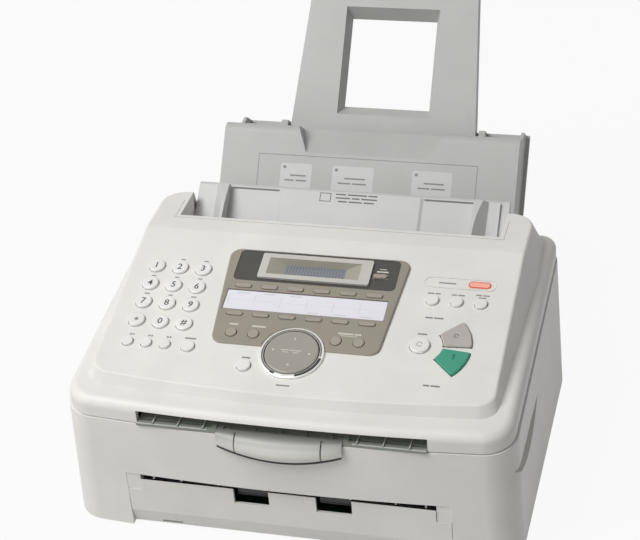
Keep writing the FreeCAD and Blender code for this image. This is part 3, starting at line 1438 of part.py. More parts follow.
def lever_section(place):
    """Section of the lip at a share of its half length from the middle."""
    share = f"(1 - ({place})^2)"
    low = f"(lever_end_low + (lever_low - lever_end_low) * {share})"
    nose = f"(-lever_end_reach + (lever_end_reach - lever_reach) * {share})"
    nose_height = f"({low} + ({LEVER_TOP} - {low}) * lever_nose)"
    over = f"(lever_curve * sqrt(({LIP_TOP_EDGE} - {nose})^2 + ({LEVER_TOP} - {nose_height})^2))"
    under = f"(lever_curve * sqrt(({LIP_BACK} - {nose})^2 + ({nose_height} - {low})^2))"
    loop = [("lever_back", LEVER_UNDER), ("lever_back", LEVER_TOP), (LIP_TOP_EDGE, LEVER_TOP),
            (nose, nose_height, over), (LIP_BACK, low, under), (LIP_BACK, LEVER_UNDER)]
    return lever.sketch([loop], "side", f"({place}) * lever_half")


sections = [lever_section(place) for place in ("-1", "-0.5", "0", "0.5", "1")]
lever.loft("PartDesign::AdditiveLoft", *sections, ruled=False)
lug_front = "lever_back - 1"
lever.pad([rect(LUG_IN, lug_front, "lever_half", LUG_BACK), rect("-lever_half", lug_front, neg(LUG_IN), LUG_BACK)],
          "plan", LEVER_UNDER, LEVER_TOP)
slits = []
for side in (-1, 1):
    middle = f"({side} * slit_shift)"
    slits.append(rect(f"{middle} - slit_width / 2", "-20", f"{middle} + slit_width / 2", "slit_end"))
lever.pocket(slits, "plan", "0", FAR)
lever.pocket([circle(f"{side} * slit_shift", "slit_end", "slit_eye_radius") for side in (-1, 1)], "plan", "0", FAR)
pivot_end = "(lever_half + lever_bearing)"
lever.rod("lever_pivot_radius", "lever_half - lever_lug / 2", pivot_end, *LEVER_AXIS)
lever.rod("lever_pivot_radius", neg(pivot_end), "lever_lug / 2 - lever_half", *LEVER_AXIS)

# Document tray with a raised middle pad, closed at the rear and the ends.
feeder = piece("document_tray", FEEDER)
FEEDER_HALF = "(entry_half - 1.5 * fit_gap)"


def on_feeder(points):
    return [into(FEEDER, *spot) for spot in points]


FEED_LOW = ("feeder_depth - feeder_length * sin(feeder_lean)", "feeder_height - feeder_length * cos(feeder_lean)")
BACK_DROP = "feeder_plate / cos(feeder_lean)"
feeder.pad([on_feeder([
    FEED_LOW, (FEED_LOW[0] + " + feeder_plate", FEED_LOW[1]),
    ("feeder_rear - wall", f"feeder_height - {BACK_DROP}"), ("feeder_rear - wall", "feeder_rear_low"),
    ("feeder_rear", "feeder_rear_low"), ("feeder_rear", "feeder_height"), ("feeder_depth", "feeder_height"),
])], "side", neg(FEEDER_HALF), FEEDER_HALF)
END = on_feeder([
    (FEED_LOW[0] + " + feeder_plate", FEED_LOW[1]), ("feeder_rear - 1", "feeder_rear_low + 1"),
    ("feeder_rear - 1", "feeder_height - 1"), ("feeder_depth - 1", "feeder_height - 1.5"),
])
feeder.pad([END], "side", f"{FEEDER_HALF} - wall", FEEDER_HALF)
feeder.pad([END], "side", neg(FEEDER_HALF), f"wall - {FEEDER_HALF}")
feeder.pad([rect("-feeder_pad_half", "-feeder_pad_rise", "feeder_pad_half", "0.2")], "plan",
           "-feeder_length", "-1")
NOTCH = on_feeder(rect("body_depth - hinge_eye_radius", "0", FAR, "feeder_rear_low + hinge_eye_radius"))
feeder.pocket([NOTCH], "side", "cheek_inner - fit_gap", FAR)
feeder.pocket([NOTCH], "side", neg(FAR), "fit_gap - cheek_inner")

# Document guides that slide across the tray.
for label, side in (("left_document_guide", -1), ("right_document_guide", 1)):
    guide = piece(label, FEEDER)
    foot = "-run_gap - guide_plate"
    section = [
        ("guide_face", "-run_gap"), ("guide_face", "-guide_rise"), ("guide_face + 2.5", "-guide_rise"),
        ("guide_face + guide_fin", foot), ("guide_face + guide_foot", foot), ("guide_face + guide_foot", "-run_gap"),
    ]
    if side < 0:
        section = [(neg(u), v) for u, v in reversed(section)]
    guide.pad([section], "plan", "guide_low", "guide_top")
    guide.pocket([[
        ("-guide_tip", "guide_top + 1"), ("-guide_rise - 0.01", "guide_low * 0.6", "guide_curve"),
        ("-guide_rise - 0.01", "guide_low * 0.75"), (foot, "guide_low"), (foot, "guide_low - 1"),
        ("-40", "guide_low - 1"), ("-40", "guide_top + 1"),
    ]], "side", neg(FAR), FAR)

doc.recompute()
os.makedirs("parts", exist_ok=True)
for made in doc.Objects:
    if "Invalid" in made.State or "Error" in made.State:
        raise RuntimeError(f"{made.Name} did not build: {made.State}")
for made in pieces:
    shape = made.body.Shape
    if shape.isNull() or not shape.isValid() or not shape.Solids:
        raise RuntimeError(f"{made.label} has no sound shape")
    shape.exportStep(f"parts/{made.label}.step")
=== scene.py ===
import math

import bmesh
import bpy
from mathutils import Matrix, Vector


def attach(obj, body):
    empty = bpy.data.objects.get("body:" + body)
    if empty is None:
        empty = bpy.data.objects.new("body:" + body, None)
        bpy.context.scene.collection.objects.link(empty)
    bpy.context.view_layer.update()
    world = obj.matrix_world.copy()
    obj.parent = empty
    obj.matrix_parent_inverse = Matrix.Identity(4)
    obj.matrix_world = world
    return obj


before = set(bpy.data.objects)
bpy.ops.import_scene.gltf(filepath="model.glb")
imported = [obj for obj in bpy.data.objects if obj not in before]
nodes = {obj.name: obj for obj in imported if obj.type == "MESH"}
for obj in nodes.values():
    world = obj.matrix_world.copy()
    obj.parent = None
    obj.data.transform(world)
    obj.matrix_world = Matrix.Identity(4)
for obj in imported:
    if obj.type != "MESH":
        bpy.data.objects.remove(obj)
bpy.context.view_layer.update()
scene = bpy.context.scene
MM = 0.001


def placed(depth, height, tilt):
    """Frame in the middle plane, at a depth and height in millimetres, tilted by degrees."""
    turn = Matrix.Rotation(math.radians(tilt), 4, "X")
    return Matrix.Translation(Vector((0, depth, height)) * MM) @ turn


# Frames of the control panel, the document exit's floor, the front wall and the two trays.
UPRIGHT = placed(depth=0, height=0, tilt=90)
ON_PANEL = placed(depth=-209.0, height=134.3, tilt=13.5)
ON_FLOOR = placed(depth=-241.0, height=0, tilt=0)
ON_FRONT = ON_FLOOR @ UPRIGHT
ON_TRAY = placed(depth=81.0, height=164.0, tilt=-39.0) @ UPRIGHT
ON_FEEDER = placed(depth=25.0, height=171.4, tilt=-50.0) @ UPRIGHT


def link(obj):
    scene.collection.objects.link(obj)
    return obj


# Procedural materials.
NOISE_LOW, NOISE_HIGH = 0.3, 0.7
CLOUD_SCALE = 22
ROUGH_SPREAD, GRAIN_STRENGTH = 0.06, 0.35
LINE_SCALE, LINE_STRENGTH, LINE_DEPTH = 400, 0.15, 0.00003
LINE_DARK, LINE_BRIGHT = 0.88, 1.06
LINE_SMOOTH, LINE_ROUGH = -0.08, 0.1
INK_SCALE, INK_DARK, INK_BRIGHT = 900, 0.9, 1.12
# Painted shade ramps in between these values of the normal's forward part, on slopes facing the
# front.
FACING_START, FACING_END = -0.45, -0.68


def srgb(r, g, b):
    """Linear colour of an 8 bit screen colour."""
    def linear(value):
        c = value / 255
        return c / 12.92 if c <= 0.04045 else ((c + 0.055) / 1.055) ** 2.4
    return (linear(r), linear(g), linear(b), 1.0)


def grey(value):
    return (value, value, value, 1.0)


def scaled(colour, share):
    return tuple(min(1.0, c * share) for c in colour[:3]) + (1.0,)


class Nodes:
    """Small helper for building one material's node tree."""

    def __init__(self, name):
        self.material = bpy.data.materials.new(name)
        self.material.use_nodes = True
        self.tree = self.material.node_tree
        self.tree.nodes.clear()
        self.out = self.add("ShaderNodeOutputMaterial")
        self.shader = self.add("ShaderNodeBsdfPrincipled")
        self.join(self.shader.outputs["BSDF"], self.out.inputs["Surface"])
        coordinates = self.add("ShaderNodeTexCoord")
        self.where = coordinates.outputs["Object"]
        self.facing = coordinates.outputs["Normal"]

    def add(self, kind, **values):
        node = self.tree.nodes.new(kind)
        for key, value in values.items():
            setattr(node, key, value)
        return node

    def join(self, a, b):
        self.tree.links.new(a, b)

    def set(self, **values):
        """Set the shader's sockets to values that are the same all over."""
        for name, value in values.items():
            self.shader.inputs[name.replace("_", " ")].default_value = value

    def feed(self, **outputs):
        """Link outputs of other nodes to the shader's sockets."""
        for name, output in outputs.items():
            self.join(output, self.shader.inputs[name.replace("_", " ")])

    def noise(self, scale, detail, stretch=None):
        node = self.add("ShaderNodeTexNoise")
        node.inputs["Scale"].default_value = scale
        node.inputs["Detail"].default_value = detail
        place = self.where
        if stretch:
            mapping = self.add("ShaderNodeMapping")
            mapping.inputs["Scale"].default_value = stretch
            self.join(place, mapping.inputs["Vector"])
            place = mapping.outputs["Vector"]
        self.join(place, node.inputs["Vector"])
        return node.outputs["Fac"]

    def ramp(self, value, stops):
        node = self.add("ShaderNodeValToRGB")
        element = node.color_ramp.elements
        while len(element) < len(stops):
            element.new(0.5)
        for point, (place, colour) in zip(element, stops):
            point.position = place
            point.color = colour
        self.join(value, node.inputs["Fac"])
        return node.outputs["Color"]

    def blend(self, value, low, high):
        """Run from one colour to another over the middle of a noise."""
        return self.ramp(value, [(NOISE_LOW, low), (NOISE_HIGH, high)])

    def axis(self, vector, letter):
        node = self.add("ShaderNodeSeparateXYZ")
        self.join(vector, node.inputs["Vector"])
        return node.outputs[letter]

    def calculate(self, operation, value, *numbers):
        node = self.add("ShaderNodeMath", operation=operation)
        self.join(value, node.inputs[0])
        for place, number in enumerate(numbers, 1):
            node.inputs[place].default_value = number
        return node.outputs[0]

    def remap(self, value, start, end, low=0.0, high=1.0):
        node = self.add("ShaderNodeMapRange")
        limits = {"From Min": start, "From Max": end, "To Min": low, "To Max": high}
        for name, limit in limits.items():
            node.inputs[name].default_value = limit
        self.join(value, node.inputs["Value"])
        return node.outputs["Result"]

    def painted_front_shade(self, tint, share):
        """Painted shade: multiply a colour by a share where the surface slopes towards the front.
        """
        slope = self.remap(self.axis(self.facing, "Y"), FACING_START, FACING_END, 1.0, share)
        product = self.add("ShaderNodeVectorMath", operation="SCALE")
        self.join(tint, product.inputs[0])
        self.join(slope, product.inputs["Scale"])
        return product.outputs["Vector"]

    def bump(self, value, strength, distance):
        node = self.add("ShaderNodeBump")
        node.inputs["Strength"].default_value = strength
        node.inputs["Distance"].default_value = distance
        self.join(value, node.inputs["Height"])
        return node.outputs["Normal"]


def plastic(name, colour, rough=0.5, grain=1500, depth=0.00006, vary=0.035, front=None, **more):
    """Moulded plastic with fine grain and cloudy colour, with painted shade on front slopes if
    asked.
    """
    made = Nodes(name)
    cloud = made.noise(CLOUD_SCALE, detail=3)
    tint = made.blend(cloud, scaled(colour, 1 - vary), scaled(colour, 1 + vary))
    # Painted shade on slopes that face the front.
    if front:
        tint = made.painted_front_shade(tint, front)
    fine = made.noise(grain, detail=3)
    made.feed(Base_Color=tint, Normal=made.bump(fine, GRAIN_STRENGTH, depth),
              Roughness=made.blend(fine, grey(rough - ROUGH_SPREAD), grey(rough + ROUGH_SPREAD)))
    made.set(**more)
    return made.material


def metal(name, colour, rough=0.32, stretch=(20, 1, 1)):
    """Metal with drawn lines along one direction."""
    made = Nodes(name)
    lines = made.noise(LINE_SCALE, detail=4, stretch=stretch)
    made.feed(Base_Color=made.blend(lines, scaled(colour, LINE_DARK), scaled(colour, LINE_BRIGHT)),
              Roughness=made.blend(lines, grey(rough + LINE_SMOOTH), grey(rough + LINE_ROUGH)),
              Normal=made.bump(lines, LINE_STRENGTH, LINE_DEPTH))
    made.set(Metallic=1.0)
    return made.material


def ink(name, colour):
    """Printed ink, slightly uneven."""
    made = Nodes(name)
    uneven = made.noise(INK_SCALE, detail=2)
    made.feed(Base_Color=made.blend(uneven, scaled(colour, INK_DARK), scaled(colour, INK_BRIGHT)))
    made.set(Roughness=0.6)
    return made.material


def display():
    """Liquid crystal display with faint upright cell lines."""
    made = Nodes("display_cells")
    cell = 2.6 * MM
    wave = made.calculate("MULTIPLY", made.axis(made.where, "X"), 2 * math.pi / cell)
    level = made.calculate("MULTIPLY_ADD", made.calculate("SINE", wave), 0.5, 0.5)
    stops = [(0.2, srgb(114, 119, 126)), (0.8, srgb(130, 135, 142))]
    made.feed(Base_Color=made.ramp(level, stops))
    made.set(Roughness=0.18, Coat_Weight=0.5)
    return made.material


def lever_painted_light_and_shade():
    """Satin grey moulding with painted light and shade: lighter towards its lower front, darker
    towards its upper edge under the cover's lip.
    """
    made = Nodes("lever_painted_light_and_shade")
    foot, edge = 0.1005, 0.1112
    # Painted light and shade by height: light towards the lip's foot, dark towards its upper edge.
    stops = [(0.0, srgb(228, 226, 220)), (0.4, srgb(214, 213, 207)),
             (0.75, srgb(176, 176, 170)), (1.0, srgb(124, 125, 120))]
    fine = made.noise(scale=1800, detail=3)
    made.feed(Base_Color=made.ramp(made.remap(made.axis(made.where, "Z"), foot, edge), stops),
              Roughness=made.blend(fine, grey(0.3), grey(0.4)),
              Normal=made.bump(fine, strength=0.3, distance=0.00004))
    return made.material


KEY_GRAIN = {"grain": 2200, "depth": 0.00003}
LAMP_GRAIN = {"grain": 2600, "depth": 0.00002}
LAMP_GLOW = {"Emission_Color": srgb(255, 120, 90), "Emission_Strength": 0.12}
CASE_COLOUR = srgb(236, 234, 229)

WHITE = plastic("warm_white_plastic", CASE_COLOUR, 0.46)
# Painted shade: the control panel's white turns darker on its bevel along the front.
PANEL_WHITE_PAINTED_SHADE = plastic("panel_plastic_painted_shade", CASE_COLOUR, 0.46, front=0.86)
KEY_WHITE = plastic("white_key_plastic", srgb(240, 239, 236), 0.38, **KEY_GRAIN)
GREY = plastic("grey_plastic", srgb(190, 190, 187), 0.5)
TRAY_GREY = plastic("tray_grey_plastic", srgb(204, 204, 203), 0.46)
CHUTE = plastic("chute_plastic", srgb(142, 145, 137), 0.42)
BLACK = plastic("black_plastic", srgb(30, 30, 32), 0.45)
TAUPE = plastic("taupe_plastic", srgb(152, 145, 133), 0.42, vary=0.05)
TAUPE_KEY = plastic("taupe_key_plastic", srgb(166, 158, 147), 0.36, **KEY_GRAIN)
DARK_STRIP = plastic("dark_strip_plastic", srgb(67, 65, 59), 0.42)
BEZEL = plastic("bezel_plastic", srgb(206, 203, 196), 0.4)
SURROUND = plastic("display_surround", srgb(168, 164, 152), 0.45)
DISC = plastic("disc_plastic", srgb(163, 159, 150), 0.34, **KEY_GRAIN)
COPY = plastic("copy_key_plastic", srgb(190, 183, 178), 0.36, **KEY_GRAIN)
GREEN = plastic("green_key_plastic", srgb(62, 156, 128), 0.34, **KEY_GRAIN)
LAMP_LENS = plastic("lamp_plastic", srgb(246, 178, 157), 0.25, **LAMP_GRAIN, **LAMP_GLOW,
                    Coat_Weight=0.4)
CARD = plastic("card_stock", srgb(240, 238, 246), 0.3, vary=0.015, Coat_Weight=0.3)
BLOCK = plastic("label_block_film", srgb(206, 206, 204), 0.35, vary=0.02, Coat_Weight=0.2)
DRUM = plastic("drum_coating", srgb(70, 130, 150), 0.15, vary=0.02, Coat_Weight=0.6)
RUBBER = plastic("black_rubber", srgb(38, 38, 40), 0.62, grain=2400)
GLOSS_RUBBER = plastic("roller_rubber", srgb(44, 44, 47), 0.34, grain=2400)
LAMINATE = plastic("board_laminate", srgb(60, 110, 70), 0.4, grain=700, vary=0.1)
RING = metal("ring_silver", srgb(226, 225, 221), 0.34, (1, 1, 20))
STEEL = metal("sheet_steel", srgb(190, 192, 194), 0.38)
ROD = metal("rod_steel", srgb(200, 200, 200), 0.25, (1, 30, 30))
INK = ink("grey_ink", srgb(112, 110, 108))
LEGEND_INK = ink("legend_ink", srgb(140, 138, 136))
PALE_INK = ink("pale_ink", srgb(176, 173, 168))
LIGHT_INK = ink("light_ink", srgb(214, 210, 200))
DARK_INK = ink("dark_ink", srgb(76, 74, 74))
GREEN_INK = ink("green_ink", srgb(24, 100, 82))
LINE_INK = ink("line_ink", srgb(142, 142, 142))
FAINT_INK = ink("faint_ink", srgb(214, 213, 214))
LAMP_RIM = ink("lamp_rim_ink", srgb(226, 92, 66))
# Dark taupe for the painted shadow along the directory card's upper and left edges.
CARD_SHADOW = ink("card_shadow_ink", srgb(84, 78, 70))
# Painted shadow in the gap between the navigator's ring and disc.
RING_PAINTED_SHADOW = ink("ring_painted_shadow_ink", srgb(120, 114, 104))
# Painted highlight for the lit edges of the exit's ribs and lip.
RIB_HIGHLIGHT = ink("rib_highlight_ink", srgb(200, 202, 196))
GLASS = display()
# Release lever's grey with painted light and shade.
LEVER = lever_painted_light_and_shade()

LOOKS = {
    WHITE: ["lower_housing", "exit_panel", "rear_feed_housing", "top_cover"],
    PANEL_WHITE_PAINTED_SHADE: ["control_panel"],
    KEY_WHITE: [*(f"key_{number}" for number in range(10)), "key_star", "key_hash", "stop_key",
                "function_keys", "mode_keys"],
    GREY: ["paper_tray_cover", "paper_tray_back", "paper_support"],
    TRAY_GREY: ["document_tray", "left_document_guide", "right_document_guide"],
    LEVER: ["cover_release_lever"],
    CHUTE: ["document_chute"],
    BLACK: ["mains_inlet", "line_sockets", "laser_unit", "fuser_frame", "toner_cartridge"],
    TAUPE: ["panel_fascia"],
    TAUPE_KEY: ["station_keys", "menu_keys", "display_key"],
    DISC: ["navigator_disc"],
    RING: ["dial_ring"],
    BEZEL: ["display_bezel"],
    GLASS: ["display_module"],
    CARD: ["directory_card"],
    COPY: ["copy_key"],
    GREEN: ["send_key"],
    LAMP_LENS: ["status_lamp"],
    STEEL: ["base_pan", "side_frames", "main_motor"],
    ROD: ["hinge_pins", "heat_roller"],
    DRUM: ["photo_drum"],
    RUBBER: ["rubber_feet", "transfer_roller", "pressure_roller", "pickup_roller",
             "document_feed_roller"],
    GLOSS_RUBBER: ["exit_rollers"],
    LAMINATE: ["power_supply_board", "main_board", "key_board"],
}
for material, names in LOOKS.items():
    for name in names:
        nodes[name].data.materials.clear()
        nodes[name].data.materials.append(material)


# Outlines, in millimetres in a frame.
def box(u0, v0, u1, v1, inset=0.0):
    u0, v0, u1, v1 = u0 + inset, v0 + inset, u1 - inset, v1 - inset
    return [(u0, v0), (u1, v0), (u1, v1), (u0, v1)]


def rounded(u0, v0, u1, v1, r):
    """Rectangle with round corners."""
    steps = 5
    loop = []
    for cu, cv, start in ((u1 - r, v0 + r, -90), (u1 - r, v1 - r, 0),
                          (u0 + r, v1 - r, 90), (u0 + r, v0 + r, 180)):
        for i in range(steps + 1):
            angle = math.radians(start + 90 * i / steps)
            loop.append((cu + r * math.cos(angle), cv + r * math.sin(angle)))
    return loop


def arc(u, v, radius, angles):
    return [(u + radius * math.cos(a), v + radius * math.sin(a)) for a in angles]


def ring_part(u, v, inner, outer, start, end, steps=24):
    """Part of a flat ring between two angles in degrees."""
    angles = [math.radians(start + (end - start) * i / steps) for i in range(steps + 1)]
    return arc(u, v, outer, angles) + arc(u, v, inner, angles[::-1])


def disc(u, v, radius):
    steps = 20
    return arc(u, v, radius, [2 * math.pi * i / steps for i in range(steps)])


def frame_bars(u0, v0, u1, v1, width):
    """Thin outline of a rectangle as four bars."""
    low, high = v0 + width, v1 - width
    return [box(u0, v0, u1, low), box(u0, high, u1, v1),
            box(u0, low, u0 + width, high), box(u1 - width, low, u1, high)]


def bars(u, v, words, height, gap=0.9):
    """Abstract line of print: a row of plain bars centred on a spot."""
    total = sum(words) + gap * (len(words) - 1)
    left = u - total / 2
    loops = []
    for width in words:
        loops.append(box(left, v - height / 2, left + width, v + height / 2))
        left += width + gap
    return loops


def print_lines(*lines):
    """Several abstract lines of print: place, widths of the bars, height and gap of each."""
    return [loop for line in lines for loop in bars(*line)]


# Pieces of thin trim and print.
PRINT, PRINT_ROOT = 0.05, 0.1


def piece(name, mesh, place, material, body):
    """Object from a mesh built in metres in a frame, riding on a body."""
    bmesh.ops.transform(mesh, matrix=place, verts=mesh.verts)
    bmesh.ops.recalc_face_normals(mesh, faces=mesh.faces)
    data = bpy.data.meshes.new(name)
    mesh.to_mesh(data)
    mesh.free()
    data.materials.append(material)
    obj = link(bpy.data.objects.new(name, data))
    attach(obj, body)


def points(mesh, spots):
    return [mesh.verts.new(Vector(spot) * MM) for spot in spots]


def level_loop(mesh, loop, level):
    return points(mesh, [(u, v, level) for u, v in loop])


def band(mesh, first, second):
    """Faces between two closed rows of points."""
    count = len(first)
    for i in range(count):
        j = (i + 1) % count
        mesh.faces.new([first[i], first[j], second[j], second[i]])


def slab(name, loops, place, low, high, material, body):
    """Thin prism over flat outlines."""
    mesh = bmesh.new()
    for loop in loops:
        floor = level_loop(mesh, loop, low)
        roof = level_loop(mesh, loop, high)
        mesh.faces.new(floor[::-1])
        mesh.faces.new(roof)
        band(mesh, floor, roof)
    piece(name, mesh, place, material, body)


def mark(name, loops, level, material, body="cover", place=ON_PANEL):
    """Print that stands just proud of a surface at a level."""
    slab(name, loops, place, level - PRINT_ROOT, level + PRINT, material, body)


def funnel(name, rows, material):
    """Closed ring on the panel through matching outlines, each with its level."""
    mesh = bmesh.new()
    made = [level_loop(mesh, loop, level) for loop, level in rows]
    for first, second in zip(made, made[1:] + made[:1]):
        band(mesh, first, second)
    piece(name, mesh, ON_PANEL, material, "cover")


def tube(name, rows, place, material, body):
    """Solid through rows of matching points, closed at both ends."""
    mesh = bmesh.new()
    made = [points(mesh, row) for row in rows]
    for first, second in zip(made, made[1:]):
        band(mesh, first, second)
    mesh.faces.new(made[0])
    mesh.faces.new(made[-1][::-1])
    piece(name, mesh, place, material, body)


# Number keys with plain digits and short legends.
KEY_RISE = 2.2
KEYS_LEFT, KEYS_LOW, KEY_PITCH = -139.0, 56.0, 20.2
KEY_ROWS = [["star", "0", "hash"], ["7", "8", "9"], ["4", "5", "6"], ["1", "2", "3"]]
SIGNS = {"star": "*", "hash": "#"}
DIGIT_SIZE, DIGIT_WEIGHT = 8.4 * MM, 0.00012
LEGEND_UP, LEGEND_HEIGHT = 9.7, 1.2
SHORT_LEGEND, LONG_LEGEND = 3.6, 4.6


def digit(name, sign, u, v, body):
    """Raised print of one sign, centred on a spot of the panel."""
    curve = bpy.data.curves.new(name + "_curve", "FONT")
    curve.body = sign
    curve.size = DIGIT_SIZE
    curve.extrude = PRINT * MM / 2
    curve.offset = DIGIT_WEIGHT
    curve.resolution_u = 3
    shaper = link(bpy.data.objects.new(name + "_shaper", curve))
    bpy.context.view_layer.update()
    evaluated = shaper.evaluated_get(bpy.context.evaluated_depsgraph_get())
    data = bpy.data.meshes.new_from_object(evaluated)
    bpy.data.objects.remove(shaper)
    xs = [p.co.x for p in data.vertices]
    ys = [p.co.y for p in data.vertices]
    middle = Vector(((min(xs) + max(xs)) / 2, (min(ys) + max(ys)) / 2, 0))
    data.transform(ON_PANEL @ Matrix.Translation(Vector((u, v, KEY_RISE)) * MM - middle))
    data.name = name
    data.materials.clear()
    data.materials.append(DARK_INK)
    obj = link(bpy.data.objects.new(name, data))
    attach(obj, body)


legends = []
for row, names in enumerate(KEY_ROWS):
    for column, name in enumerate(names):
        u, v = KEYS_LEFT + column * KEY_PITCH, KEYS_LOW + row * KEY_PITCH
        digit(f"sign_{name}", SIGNS.get(name, name), u, v, f"key_{name}")
        if name.isdigit() and name not in "01":
            width = LONG_LEGEND if name in "79" else SHORT_LEGEND
            legends += bars(u, v + LEGEND_UP, [width], LEGEND_HEIGHT)

# Legends of the function, mode, stop and send keys, the lamp and the navigator.
DIAL_U, DIAL_V = -3.4, 34.6
FUNCTION_LEFT, FUNCTION_PITCH, SMALL_FUNCTION_KEYS = -138.5, 15.7, 3
for i in range(SMALL_FUNCTION_KEYS):
    legends += bars(FUNCTION_LEFT + i * FUNCTION_PITCH, 41.2, [1.8, 1.6], 1.6, 0.6)
legends += print_lines(
    (-89.3, 41.8, [9.2], 1.5),
    (-39.0, 27.2, [7.0], 1.5),
    (96.8, 110.6, [5.5, 4.0], 1.3),
    (116.35, 110.6, [4.0, 5.5], 1.3),
    (135.9, 112.2, [4.6, 5.2], 1.3),
    (135.9, 109.6, [6.0], 1.2),
    (105.5, 122.7, [14.0], 1.4),
    (95.3, 66.8, [7.6], 1.5),
    (101.5, 84.5, [6.2, 7.6], 1.5),
    (111.5, 15.5, [5.0, 7.2], 1.7),
    (DIAL_U, 2.6, [11.0], 1.4),
)
mark("panel_print", legends, 0.0, LEGEND_INK)

# Dark strip round the display's base and the hole of the display key, and the fascia's print.
FASCIA, STRIP_FLOOR = 2.0, 1.4
STRIP_LEFT, STRIP_LOW, STRIP_RIGHT, STRIP_HIGH = -70.9, 107.4, 64.9, 140.9
STRIP_ROUND = 4.4
BASE_LEFT, BASE_LOW, BASE_RIGHT, BASE_HIGH = -50.0, 112.0, 41.5, 137.0
HOLE_LEFT, HOLE_LOW, HOLE_RIGHT, HOLE_HIGH = 43.9, 119.9, 56.5, 125.3
strip = rounded(STRIP_LEFT, STRIP_LOW, STRIP_RIGHT, STRIP_HIGH, STRIP_ROUND)
strip_parts = [
    [(min(u, BASE_LEFT), v) for u, v in strip],
    [(max(u, HOLE_RIGHT), v) for u, v in strip],
    box(BASE_LEFT, STRIP_LOW, HOLE_RIGHT, BASE_LOW),
    box(BASE_LEFT, BASE_HIGH, HOLE_RIGHT, STRIP_HIGH),
    box(BASE_RIGHT, BASE_LOW, HOLE_LEFT, BASE_HIGH),
    box(HOLE_LEFT, BASE_LOW, HOLE_RIGHT, HOLE_LOW),
    box(HOLE_LEFT, HOLE_HIGH, HOLE_RIGHT, BASE_HIGH),
]
mark("display_strip", strip_parts, STRIP_FLOOR, DARK_STRIP)
fascia_print = print_lines(
    (-57.2, 59.2, [7.4], 1.6),
    (-36.0, 58.6, [11.5], 1.6),
    (38.5, 58.6, [12.5, 5.5], 1.6),
    (38.5, 56.4, [14.0], 0.6),
)
mark("fascia_print", fascia_print, FASCIA, LIGHT_INK)
strip_print = print_lines((51.2, 128.0, [9.8], 1.5), (51.2, 130.8, [6.0], 0.8))
mark("strip_print", strip_print, STRIP_FLOOR + PRINT, LIGHT_INK)

# Sloping surround between the bezel's mouth and the display.
BEZEL_TOP, DISPLAY_FACE, FILM = 3.4, -2.5, 0.12
MOUTH = (-44.5, 115.4, 33.4, 133.5)
WINDOW = (-31.0, 117.0, 20.0, 131.0)
surround = [
    (box(*MOUTH), BEZEL_TOP),
    (box(*MOUTH, FILM), BEZEL_TOP),
    (box(*WINDOW, FILM), DISPLAY_FACE),
    (box(*WINDOW), DISPLAY_FACE),
]
funnel("display_surround", surround, SURROUND)

# Faint columns on the directory card, and a painted shadow along its upper and left edges, where
# the card sits below the fascia.
CARD_LEFT, CARD_LOW, CARD_RIGHT, CARD_HIGH = -71.0, 75.2, 62.0, 95.8
COLUMNS, COLUMN_LEFT, COLUMN_PITCH = 6, -59.5, 21.9
LINE_LEFT, LINE_LOW, LINE_RIGHT, LINE_HIGH = -9.3, 79.6, -8.9, 91.5
MIDDLE_LINE = (-69.5, 85.3, 60.5, 85.5)
UPPER_NAME, LOWER_NAME = (2.0, 93.2), (-2.0, 77.4)
NAME_WIDTHS, NAME_HEIGHT = (10.5, 9.3), 1.0
CARD_SHADOW_WIDTH = 0.9
card_print = []
for i in range(COLUMNS):
    u = COLUMN_LEFT + i * COLUMN_PITCH
    shift, v = UPPER_NAME if i < COLUMNS / 2 else LOWER_NAME
    card_print += bars(u + shift, v, [NAME_WIDTHS[i % 2]], NAME_HEIGHT)
    card_print.append(box(u + LINE_LEFT, LINE_LOW, u + LINE_RIGHT, LINE_HIGH))
card_print.append(box(*MIDDLE_LINE))
mark("card_print", card_print, FASCIA, FAINT_INK)
# Painted shadow: dark bars along the card's upper and left edges.
card_shadow_high = CARD_HIGH + CARD_SHADOW_WIDTH
card_painted_shadow = [box(CARD_LEFT, CARD_HIGH, CARD_RIGHT, card_shadow_high),
               box(CARD_LEFT - CARD_SHADOW_WIDTH, CARD_LOW, CARD_LEFT, card_shadow_high)]
mark("card_painted_shadow", card_painted_shadow, FASCIA, CARD_SHADOW)

# Marks on the dished navigator and on the large keys.
DISC_MIDDLE, DISC_EDGE = 2.95, 3.08
DOT_RADIUS = 0.95
DOT_PLACES = ((0, 13.6), (-15.2, 0.8), (14.6, -0.6), (0, -13.2))
dots = [disc(DIAL_U + du, DIAL_V + dv, DOT_RADIUS) for du, dv in DOT_PLACES]
mark("navigator_dots", dots, DISC_EDGE, LIGHT_INK, "navigator_disc")
navigator_print = print_lines(
    (DIAL_U - 1.0, DIAL_V + 1.6, [6.4, 9.0], 0.9),
    (DIAL_U - 1.0, DIAL_V - 0.6, [5.0, 4.2], 0.8, 4.0),
)
mark("navigator_print", navigator_print, DISC_MIDDLE, LIGHT_INK, "navigator_disc")
stop_ring = ring_part(95.3, 54.5, inner=1.7, outer=2.5, start=20, end=330)
mark("stop_print", [stop_ring], KEY_RISE, PALE_INK, "stop_key")
copy_ring = ring_part(122.5, 66.0, inner=1.3, outer=2.1, start=0, end=300)
mark("copy_print", [copy_ring], KEY_RISE, INK, "copy_key")
send_arrow = [[(122.6, 44.6), (125.2, 44.6), (123.9, 48.4)], box(122.9, 42.2, 124.9, 43.6)]
mark("send_print", send_arrow, KEY_RISE, GREEN_INK, "send_key")

